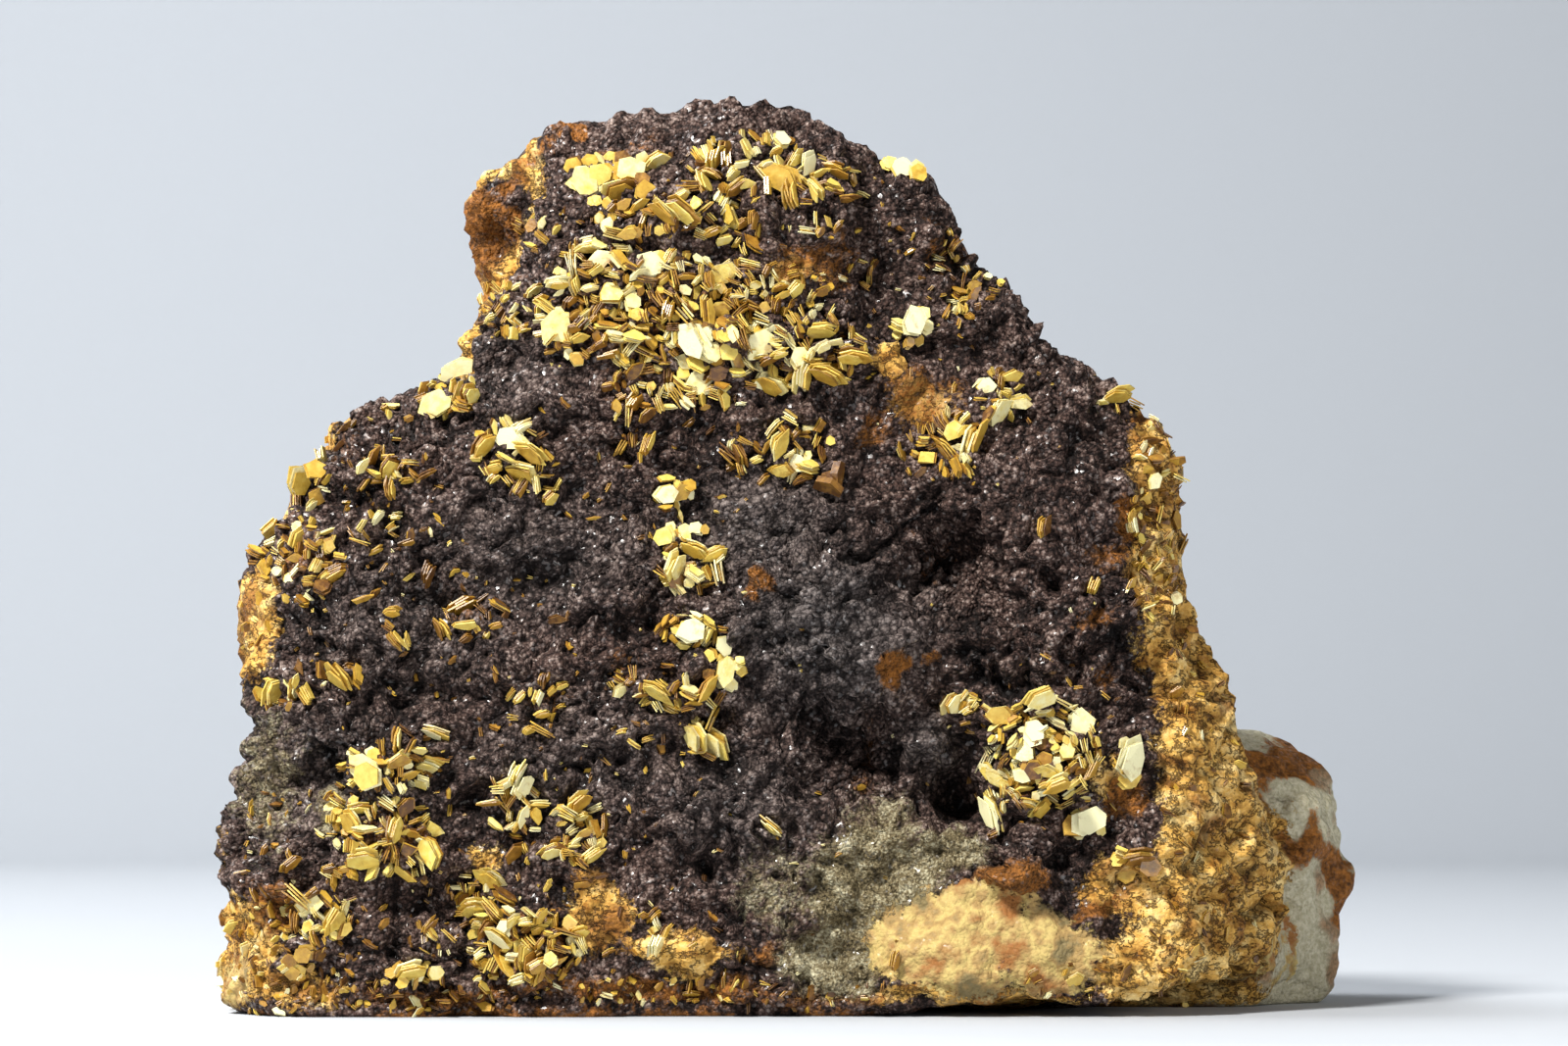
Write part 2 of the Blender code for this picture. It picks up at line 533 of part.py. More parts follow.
def nearest_outline_point(place, centre_x, centre_z, share):
    """The outline point that a corner stands for, undoing the shrink of its section."""
    return (
        centre_x + (place.x - centre_x) / share,
        centre_z + (place.z - centre_z) / share,
    )


def smooth_step(value, low, high):
    """0 below low, 1 above high, and a smooth rise between them."""
    share = min(1.0, max(0.0, (value - low) / (high - low)))
    return share * share * (3.0 - 2.0 * share)


def lump_object(lump, collection):
    """An icosphere, pushed towards a block, stretched, turned and put in its place."""
    bm = bmesh.new()
    bmesh.ops.create_icosphere(bm, subdivisions=3, radius=1.0)
    for corner in bm.verts:
        largest = max(abs(part) for part in corner.co)
        block = corner.co / largest
        corner.co = corner.co.lerp(block, lump.squareness * BLOCKINESS)
    turn = Matrix.Identity(4)
    for angle, axis in zip(lump.turn, "XYZ"):
        turn = Matrix.Rotation(math.radians(angle), 4, axis) @ turn
    stretch = Matrix.Diagonal((*lump.radii, 1.0))
    bmesh.ops.transform(
        bm, matrix=Matrix.Translation(lump.centre) @ turn @ stretch, verts=bm.verts
    )
    return object_from(bm, "lump", collection)


def fuse(pieces, name, voxel, collection):
    """Joins overlapping closed pieces into one skin with the voxel remesher."""
    bm = bmesh.new()
    for piece in pieces:
        bm.from_mesh(piece.data)
        bpy.data.objects.remove(piece)
    fused = object_from(bm, name, collection)
    remesh = fused.modifiers.new("fuse", "REMESH")
    remesh.mode = "VOXEL"
    remesh.voxel_size = voxel
    return apply_modifiers(fused)


def seen_at(place):
    """The x and z in the plane y = 0 that a place is seen at from the eye."""
    share = -EYE.y / (place.y - EYE.y)
    return EYE.x + (place.x - EYE.x) * share, EYE.z + (place.z - EYE.z) * share


def relief_at(x, z):
    """The height of the front's relief at a place, towards the viewer, with wandering outlines."""
    wander = noise.noise_vector(Vector((x, z, 0.0)) / WANDER_SIZE) * WANDER
    x += wander.x
    z += wander.y
    total = 0.0
    for form in RELIEF:
        reach = form.up if z > form.z else form.down
        spread = ((x - form.x) / form.across) ** 2 + ((z - form.z) / reach) ** 2
        if form.steep:
            spread = spread ** 2
        total += form.height * math.exp(-spread)
    return total


def knobs_at(place):
    """Natural roughness of the whole rock: broad swells, and knobs like those of the crust."""
    swell = noise.noise(place / SWELL_SIZE) * SWELL_HEIGHT
    lumps = noise.noise(place / LUMP_SIZE + Vector(LUMP_PATTERN_SHIFT)) * LUMP_HEIGHT
    knobs = (0.5 - noise.voronoi(place / KNOB_SIZE)[0][0]) * KNOB_HEIGHT
    return swell, lumps, knobs


def carve(rock):
    """Gives the fused rock its relief in front, its roughness all over and its flat base."""
    bm = bmesh.new()
    bm.from_mesh(rock.data)
    bm.normal_update()
    moves = []
    for corner in bm.verts:
        place = corner.co
        in_front = 1.0 - smooth_step(place.y, *RELIEF_DEPTH)
        facing = smooth_step(-corner.normal.y, 0.0, FACING_FULL)
        swell, lumps, knobs = knobs_at(place)
        rough = swell + lumps * (BACK_LUMPS + FRONT_LUMPS * in_front) + knobs * in_front
        near_base = 1.0 - smooth_step(place.z, *CALM_HEIGHT)
        move = corner.normal * rough * (1.0 - CALM_SHARE * near_base)
        move.y -= relief_at(*seen_at(place)) * in_front * facing * (1.0 - near_base)
        moves.append(move)
    for corner, move in zip(bm.verts, moves):
        corner.co += move
    bm.to_mesh(rock.data)
    bm.free()
    remesh = rock.modifiers.new("even_out", "REMESH")
    remesh.mode = "VOXEL"
    remesh.voxel_size = CARVED_VOXEL
    apply_modifiers(rock)
    return rock


def thin_out(rock, cutters):
    """Reduces the rock to its triangle budget, most of them in front, and cuts the base flat."""
    thinned = rock.vertex_groups.new(name="thinned")
    for corner in rock.data.vertices:
        back_share = smooth_step(corner.co.y, *THINNED_DEPTH)
        thinned.add([corner.index], FRONT_THINNING + (1.0 - FRONT_THINNING) * back_share, "REPLACE")
    thin = rock.modifiers.new("thin_out", "DECIMATE")
    thin.ratio = ROCK_TRIANGLES / (2 * len(rock.data.polygons))
    thin.vertex_group = "thinned"
    thin.vertex_group_factor = THINNING_CONTRAST
    apply_modifiers(rock)
    rock.vertex_groups.clear()
    rock.data.transform(Matrix.Translation((*CENTRE_SHIFT, -BASE_HEIGHT)))
    ground = bmesh.new()
    below = Matrix.Translation((0, 0, -GROUND_SIZE / 2))
    bmesh.ops.create_cube(ground, size=GROUND_SIZE, matrix=below)
    floor = object_from(ground, "base_cutter", cutters)
    floor.hide_render = True
    floor.display_type = "WIRE"
    flat = rock.modifiers.new("flat_base", "BOOLEAN")
    flat.operation = "DIFFERENCE"
    flat.solver = "EXACT"
    flat.object = floor
    apply_modifiers(rock)
    tidy(rock, ROCK_TIDY)
    return rock


def keep_largest_body(bm):
    """Deletes every loose shell but the one with the most faces."""
    left = set(bm.faces)
    shells = []
    while left:
        shell, front = set(), [left.pop()]
        while front:
            face = front.pop()
            shell.add(face)
            for edge in face.edges:
                for other in edge.link_faces:
                    if other in left:
                        left.discard(other)
                        front.append(other)
        shells.append(shell)
    shells.sort(key=len, reverse=True)
    for shell in shells[1:]:
        bmesh.ops.delete(bm, geom=list(shell), context="FACES")


def tidy(solid, steps):
    """Joins nearly flat faces, triangulates, and keeps the first result that is one closed surface."""
    for step in steps:
        bm = bmesh.new()
        bm.from_mesh(solid.data)
        if step.bend:
            bmesh.ops.dissolve_limit(
                bm, angle_limit=math.radians(step.bend), verts=bm.verts, edges=bm.edges
            )
        bmesh.ops.dissolve_degenerate(bm, dist=step.shortest_edge, edges=bm.edges)
        bmesh.ops.triangulate(bm, faces=bm.faces)
        keep_largest_body(bm)
        closed = all(len(edge.link_faces) == 2 for edge in bm.edges)
        if closed or step == steps[-1]:
            bm.to_mesh(solid.data)
            bm.free()
            return
        bm.free()


def seat_cutter(rock, collection):
    """The rock's skin pushed out by the seat gap, which shapes the underside of each tablet group."""
    bm = bmesh.new()
    bm.from_mesh(rock.data)
    bm.normal_update()
    for corner in bm.verts:
        corner.co += corner.normal * SEAT_GAP * SEAT_PUSH
    cutter = object_from(bm, "seat_cutter", collection)
    cutter.hide_render = True
    cutter.display_type = "WIRE"
    return cutter


def surface_at(tree, x, z):
    """The rock's point and outward direction where x and z of the plane y = 0 are seen."""
    shift = Vector((*CENTRE_SHIFT, -BASE_HEIGHT))
    ahead = Vector((x, 0.0, z)) - EYE
    hit, normal, _, _ = tree.ray_cast(EYE + shift, ahead.normalized())
    if hit is None:
        hit, normal, _, _ = tree.find_nearest(Vector((x, 0.0, z)) + shift)
    outward = normal.lerp(Vector((0, -1, 0)), OUTWARD_EASE)
    return hit, outward.normalized()


def frame_on(outward, run_degrees):
    """A turn whose Z is the outward direction and whose X runs at an angle to +X across the front."""
    run = math.radians(run_degrees)
    along = Vector((math.cos(run), 0.0, math.sin(run)))
    along = (along - outward * along.dot(outward)).normalized()
    side = outward.cross(along)
    return Matrix((along, side, outward)).transposed().to_4x4()


def add_tablet(bm, tree, tablet):
    """A six-sided plate, longer than it is wide, turned about its long side by its tip."""
    hit, outward = surface_at(tree, tablet.x, tablet.z)
    turn = frame_on(outward, tablet.run) @ Matrix.Rotation(math.radians(tablet.tip), 4, "X")
    stretch = Matrix.Diagonal((TABLET_LENGTH_SHARE, 1.0, 1.0, 1.0))
    middle = hit + outward * TABLET_RISE
    bmesh.ops.create_cone(
        bm,
        cap_ends=True,
        segments=6,
        radius1=tablet.width / 2,
        radius2=tablet.width / 2,
        depth=TABLET_THICKNESS,
        matrix=Matrix.Translation(middle) @ turn @ stretch,
    )


def add_mound(bm, tree, mound):
    """The low mass of fine mica that the tablets of a group grow from."""
    x, z, half_width, half_height = mound
    hit, outward = surface_at(tree, x, z)
    stretch = Matrix.Diagonal((half_width, half_height, MOUND_HEIGHT, 1.0))
    bmesh.ops.create_icosphere(
        bm,
        subdivisions=1,
        radius=1.0,
        matrix=Matrix.Translation(hit + outward * MOUND_RISE) @ frame_on(outward, 0) @ stretch,
    )


def tablet_group(group, tree, cutter, material, collection):
    """One group: its mound and tablets joined in one solid whose underside follows the rock."""
    bm = bmesh.new()
    add_mound(bm, tree, group.mound)
    for tablet in group.tablets:
        add_tablet(bm, tree, tablet)
    made = object_from(bm, group.name, collection)
    seat = made.modifiers.new("seat", "BOOLEAN")
    seat.operation = "DIFFERENCE"
    seat.solver = "EXACT"
    seat.use_self = True
    seat.object = cutter
    apply_modifiers(made)
    tidy(made, GROUP_TIDY)
    made.data.materials.append(material)
    return made


def build():
    """Builds the rock and every tablet group, and scales them to metres."""
    clear_scene()
    noise.seed_set(NOISE_SEED)
    specimen = bpy.data.collections.new("sericite_muscovite")
    cutters = bpy.data.collections.new("cutters")
    for collection in (specimen, cutters):
        bpy.context.scene.collection.children.link(collection)
    rock_material = make_material("iron_oxide_crust", ROCK_COLOUR, 0.85)
    mica_material = make_material("sericite_mica", MICA_COLOUR, 0.35)

    pieces = [front_slab(specimen)] + [lump_object(lump, specimen) for lump in LUMPS]
    rock = fuse(pieces, "rock", FUSE_VOXEL, specimen)
    thin_out(carve(rock), cutters)
    rock.data.materials.clear()
    rock.data.materials.append(rock_material)

    skin = bmesh.new()
    skin.from_mesh(rock.data)
    tree = BVHTree.FromBMesh(skin)
    cutter = seat_cutter(rock, cutters)
    made = [rock]
    for group in GROUPS:
        made.append(tablet_group(group, tree, cutter, mica_material, specimen))
    skin.free()
    for solid in made + list(cutters.objects):
        solid.data.transform(Matrix.Scale(METRES_PER_MM, 4))


build()
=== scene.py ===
"""The looks of a sericite muscovite specimen: a granular iron-oxide crust with golden mica tablets.

Lengths are in millimetres until a piece is finished, and then its mesh is scaled to metres. Places on
the front are given as seen from the viewer, as x and z in a plane that stands at the specimen's face.
"""

import logging
import math
import random
from dataclasses import dataclass
from enum import Enum
from typing import Any, NamedTuple, Sequence

import bmesh
import bpy
from mathutils import Matrix, Vector, noise
from mathutils.bvhtree import BVHTree

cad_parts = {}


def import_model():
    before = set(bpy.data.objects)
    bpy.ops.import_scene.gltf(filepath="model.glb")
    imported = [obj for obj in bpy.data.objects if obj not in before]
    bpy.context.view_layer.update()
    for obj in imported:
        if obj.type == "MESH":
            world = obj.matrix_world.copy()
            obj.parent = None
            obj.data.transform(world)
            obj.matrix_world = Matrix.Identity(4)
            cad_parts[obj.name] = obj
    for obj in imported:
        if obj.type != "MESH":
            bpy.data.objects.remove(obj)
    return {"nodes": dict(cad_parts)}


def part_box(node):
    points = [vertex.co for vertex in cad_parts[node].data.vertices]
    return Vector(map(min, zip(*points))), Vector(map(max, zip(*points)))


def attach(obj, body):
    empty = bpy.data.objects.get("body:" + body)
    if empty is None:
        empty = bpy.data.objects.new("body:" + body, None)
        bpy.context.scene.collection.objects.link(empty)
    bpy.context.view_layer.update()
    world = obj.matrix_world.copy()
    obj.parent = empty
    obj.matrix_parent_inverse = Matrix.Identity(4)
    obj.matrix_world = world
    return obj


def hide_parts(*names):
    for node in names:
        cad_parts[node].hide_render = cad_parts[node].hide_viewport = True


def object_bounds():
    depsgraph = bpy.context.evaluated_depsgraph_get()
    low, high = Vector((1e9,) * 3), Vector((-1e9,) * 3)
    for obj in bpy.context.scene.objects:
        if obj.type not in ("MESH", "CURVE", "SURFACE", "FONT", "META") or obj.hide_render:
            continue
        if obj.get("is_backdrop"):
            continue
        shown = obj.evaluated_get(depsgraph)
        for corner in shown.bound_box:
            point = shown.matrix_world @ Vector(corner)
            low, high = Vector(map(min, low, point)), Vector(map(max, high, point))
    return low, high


LOG = logging.getLogger("specimen")
METRES_PER_MM = 0.001
NOISE_SEED = 7  # fixes the wandering of outlines from one run to the next
MERGE_DISTANCE = 1e-6  # the CAD model's doubled corners, in metres
BASE_EDGE = 0.4  # corners below this height belong to the flat base
BOX_MARGIN = 0.02  # how far every piece stays below the CAD model's highest corner
PATTERN_STEPS = (3.7, 1.9, 5.3)  # how far one seed moves a pattern along X, Y and Z

# The view that the places on the front are given for: the eye, and the plane's shift to the frame
PLANE_SHIFT = Vector((-0.74, -20.43, -1.2))
EYE_IN_PLANE = Vector((-0.4, -480.0, 22.5))
EYE = EYE_IN_PLANE + PLANE_SHIFT
AIM = Vector((-0.4, 0.0, 39.3)) + PLANE_SHIFT
PLANE_WIDTH = 121.6
SENSOR_WIDTH = 36.0

# Tablets lean this way, which is towards the viewer and a little up
TOWARDS_VIEWER = Vector((0.0, -1.0, 0.15))

Colour = tuple[float, float, float]


def smooth_step(value: float, low: float, high: float) -> float:
    """0 below low, 1 above high, and a smooth rise between them."""
    share = min(1.0, max(0.0, (value - low) / (high - low)))
    return share * share * (3.0 - 2.0 * share)


def wandering(place: Vector, steps: Sequence[tuple[float, float]]) -> Vector:
    """An offset that wanders from place to place, from pairs of a pattern's size and its reach."""
    return sum((noise.noise_vector(place / size) * reach for size, reach in steps), Vector())


def seen_at(place: Vector) -> tuple[float, float]:
    """The x and z of the front's plane at which a place is seen from the eye."""
    share = (PLANE_SHIFT.y - EYE.y) / (place.y - EYE.y)
    return (
        EYE_IN_PLANE.x + (place.x - EYE.x) * share,
        EYE_IN_PLANE.z + (place.z - EYE.z) * share,
    )


def linear(red: int, green: int, blue: int) -> Colour:
    """A display colour from 0 to 255 as scene-linear values."""

    def channel(value: int) -> float:
        share = value / 255.0
        return share / 12.92 if share <= 0.04045 else ((share + 0.055) / 1.055) ** 2.4

    return channel(red), channel(green), channel(blue)


# Shader building


class Value:
    """A shader socket that carries a number, for arithmetic in plain Python."""

    def __init__(self, tree: "Nodes", socket: Any) -> None:
        """Keeps the node tree and the socket."""
        self.tree = tree
        self.socket = socket

    def _math(self, operation: str, *others: Any, swap: bool = False) -> "Value":
        """Adds one Math node.

        Args:
            operation: the node's operation.
            others: further operands, numbers or values.
            swap: puts this value behind the others.

        Returns:
            The node's result.
        """
        operands = [*others, self] if swap else [self, *others]
        return self.tree.add("ShaderNodeMath", {"operation": operation}, dict(enumerate(operands)))

    def __add__(self, other: Any) -> "Value":
        """Sum."""
        return self._math("ADD", other)

    def __sub__(self, other: Any) -> "Value":
        """Difference."""
        return self._math("SUBTRACT", other)

    def __rsub__(self, other: Any) -> "Value":
        """Difference, reflected."""
        return self._math("SUBTRACT", other, swap=True)

    def __mul__(self, other: Any) -> "Value":
        """Product."""
        return self._math("MULTIPLY", other)

    def __truediv__(self, other: Any) -> "Value":
        """Quotient."""
        return self._math("DIVIDE", other)

    def __rtruediv__(self, other: Any) -> "Value":
        """Quotient, reflected."""
        return self._math("DIVIDE", other, swap=True)

    def __pow__(self, other: Any) -> "Value":
        """Power."""
        return self._math("POWER", other)

    def __rpow__(self, other: Any) -> "Value":
        """Power, reflected."""
        return self._math("POWER", other, swap=True)

    __radd__ = __add__
    __rmul__ = __mul__

    def clamp(self) -> "Value":
        """Held between 0 and 1."""
        return self._math("MAXIMUM", 0.0)._math("MINIMUM", 1.0)

    def sibling(self, output: str) -> "Value":
        """Another output of the same node."""
        return Value(self.tree, self.socket.node.outputs[output])

    def magnitude(self) -> "Value":
        """Without its sign."""
        return self._math("ABSOLUTE")

    def between(self, low: float, high: float) -> "Value":
        """0 below low, 1 above high, smooth between them."""
        settings = {"interpolation_type": "SMOOTHSTEP"}
        return self.tree.add("ShaderNodeMapRange", settings, {"Value": self, 1: low, 2: high})


class Nodes:
    """One material's node tree, with a Principled shader, and short ways to add nodes to it."""

    def __init__(self, name: str) -> None:
        """Makes the material and finds its shader."""
        self.material = bpy.data.materials.new(name)
        self.material.use_nodes = True
        self.tree = self.material.node_tree
        self.shader = self.tree.nodes["Principled BSDF"]
        self.place = self.add("ShaderNodeTexCoord", {}, {}, "Object").socket

    def add(
        self, kind: str, settings: dict[str, Any], inputs: dict[Any, Any], output: Any = 0
    ) -> Value:
        """Adds a node.

        Args:
            kind: the node's type.
            settings: its own settings, set first; a list of stops for a ramp.
            inputs: socket names or numbers, with their numbers, colours or links.
            output: the socket that is returned.

        Returns:
            The output socket, wrapped.
        """
        node = self.tree.nodes.new(kind)
        for key, setting in settings.items():
            if key == "stops":
                self._set_stops(node, setting)
            else:
                setattr(node, key, setting)
        for key, given in inputs.items():
            target = node.inputs[key]
            if isinstance(given, Value):
                self.tree.links.new(given.socket, target)
            elif isinstance(given, bpy.types.NodeSocket):
                self.tree.links.new(given, target)
            else:
                target.default_value = given
        return Value(self, node.outputs[output])

    def _set_stops(self, node: Any, stops: Sequence[tuple[float, Colour]]) -> None:
        """Gives a colour ramp its stops."""
        ramp = node.color_ramp
        while len(ramp.elements) < len(stops):
            ramp.elements.new(1.0)
        for element, (position, colour) in zip(ramp.elements, stops):
            element.position = position
            element.color = (*colour, 1.0)

    def attribute(self, name: str) -> Value:
        """The value of the mesh's own attribute."""
        return self.add("ShaderNodeAttribute", {"attribute_name": name}, {}, "Fac")

    def placed(self, per_mm: float, seed: float, stretch: Sequence[float]) -> Value:
        """The place on the object, scaled and shifted for a pattern.

        Args:
            per_mm: how many of the pattern's units there are in a millimetre.
            seed: shifts the pattern, so that two of the same size differ.
            stretch: factors along X, Y and Z.

        Returns:
            The coordinates.
        """
        scale = tuple(factor * per_mm / METRES_PER_MM for factor in stretch)
        shift = tuple(seed * factor for factor in PATTERN_STEPS)
        inputs = {"Vector": self.place, "Location": shift, "Scale": scale}
        return self.add("ShaderNodeMapping", {}, inputs)

    def noise(
        self, per_mm: float, detail: float = 3.0, rough: float = 0.55, seed: float = 0.0,
        stretch: Sequence[float] = (1.0, 1.0, 1.0),
    ) -> Value:
        """A noise pattern from 0 to 1 about 0.5.

        Args:
            per_mm: how many swells there are in a millimetre.
            detail: octaves.
            rough: how strong the finer octaves are.
            seed: picks one of many patterns.
            stretch: factors along X, Y and Z.

        Returns:
            The pattern's value.
        """
        inputs = {
            "Vector": self.placed(per_mm, seed, stretch), "Scale": 1.0, "Detail": detail,
            "Roughness": rough,
        }
        return self.add("ShaderNodeTexNoise", {}, inputs, "Fac")

    def grains(self, per_mm: float) -> Value:
        """The distance from the middle of each grain of a granular surface."""
        inputs = {"Vector": self.placed(per_mm, per_mm, (1.0, 1.0, 1.0)), "Scale": 1.0}
        return self.add("ShaderNodeTexVoronoi", {"feature": "F1"}, inputs, "Distance")

    def ramp(self, value: Value, stops: Sequence[tuple[float, Colour]]) -> Value:
        """A colour for each value."""
        return self.add("ShaderNodeValToRGB", {"stops": stops}, {"Fac": value})

    def mix(self, share: Any, first: Any, second: Any, how: str = "MIX") -> Value:
        """One colour laid over another.

        Args:
            share: how much of the second shows, as a number or a value.
            first: the colour below, as three numbers or a value.
            second: the colour above.
            how: the blend mode.

        Returns:
            The mixed colour.
        """
        settings = {"data_type": "RGBA", "blend_type": how, "clamp_factor": True}
        inputs = {0: share, 6: self._four(first), 7: self._four(second)}
        return self.add("ShaderNodeMix", settings, inputs, 2)

    def _four(self, colour: Any) -> Any:
        """A plain colour with its alpha, or the value as it is."""
        return (*colour, 1.0) if isinstance(colour, tuple) else colour

    def shade(self, value: Value) -> Value:
        """A number as a grey colour."""
        return self.add("ShaderNodeCombineColor", {}, {0: value, 1: value, 2: value})

    def bump(self, height: Value, depth_mm: float) -> Value:
        """The normal of a fine relief whose height goes from 0 to 1 over depth_mm."""
        inputs = {"Height": height, "Distance": depth_mm * METRES_PER_MM, "Strength": 1.0}
        return self.add("ShaderNodeBump", {}, inputs, "Normal")

    def finish(self, links: dict[str, Value], **constants: Any) -> bpy.types.Material:
        """Feeds the shader.

        Args:
            links: socket names with what varies over the surface.
            constants: socket names, with _ for a space, and their numbers.

        Returns:
            The material.
        """
        for name, value in links.items():
            self.tree.links.new(value.socket, self.shader.inputs[name])
        for name, number in constants.items():
            self.shader.inputs[name.replace("_", " ")].default_value = number
        return self.material


# Mesh helpers


def new_object(name: str, bm: bmesh.types.BMesh, keep_mm: bool = False) -> bpy.types.Object:
    """Turns a bmesh into an object in the scene.

    Args:
        name: the piece's name.
        bm: its mesh in millimetres, which is freed.
        keep_mm: leaves it in millimetres for further work.

    Returns:
        The object.
    """
    if not keep_mm:
        bmesh.ops.scale(bm, vec=(METRES_PER_MM,) * 3, verts=bm.verts)
    mesh = bpy.data.meshes.new(name)
    bm.to_mesh(mesh)
    bm.free()
    made = bpy.data.objects.new(name, mesh)
    bpy.context.scene.collection.objects.link(made)
    return made


def keep_inside(bm: bmesh.types.BMesh, box: Sequence[Vector]) -> None:
    """Holds a mesh in millimetres inside a box that is given in metres."""
    low, high = (corner / METRES_PER_MM for corner in box)
    for corner in bm.verts:
        for axis in range(3):
            corner.co[axis] = min(high[axis] - BOX_MARGIN, max(low[axis], corner.co[axis]))


def with_modifiers(work: bpy.types.Object) -> bmesh.types.BMesh:
    """The mesh that an object's modifiers give; the object is removed."""
    bpy.context.view_layer.update()
    graph = bpy.context.evaluated_depsgraph_get()
    mesh = bpy.data.meshes.new_from_object(work.evaluated_get(graph))
    bm = bmesh.new()
    bm.from_mesh(mesh)
    bpy.data.objects.remove(work)
    return bm


# The rock


class Zone(Enum):
    """The kinds of surface on the rock, and the crevice depth for painted shade, each stored as a mesh
    attribute.
    """

    OCHRE = "ochre"  # weathered mica schist, ochre to orange
    CREAM = "cream"  # the pale clay-like break
    SAND = "sand"  # grey speckled sandy rock
    RUST = "rust"  # orange and brown stains on the crust
    BLUE = "blue"  # the grey-blue bloom of the middle
    SCHIST = "schist"  # the grey layered lobe behind on the right
    CAVITY = "cavity"  # how deep a place lies in the hollows between the knobs, for the painted shade there


class Patch(NamedTuple):
    """A soft-edged oval of one zone on the front: middle, half sizes, strength, turn in degrees."""

    x: float
    z: float
    across: float
    high: float
    strength: float = 1.0
    turn: float = 0.0


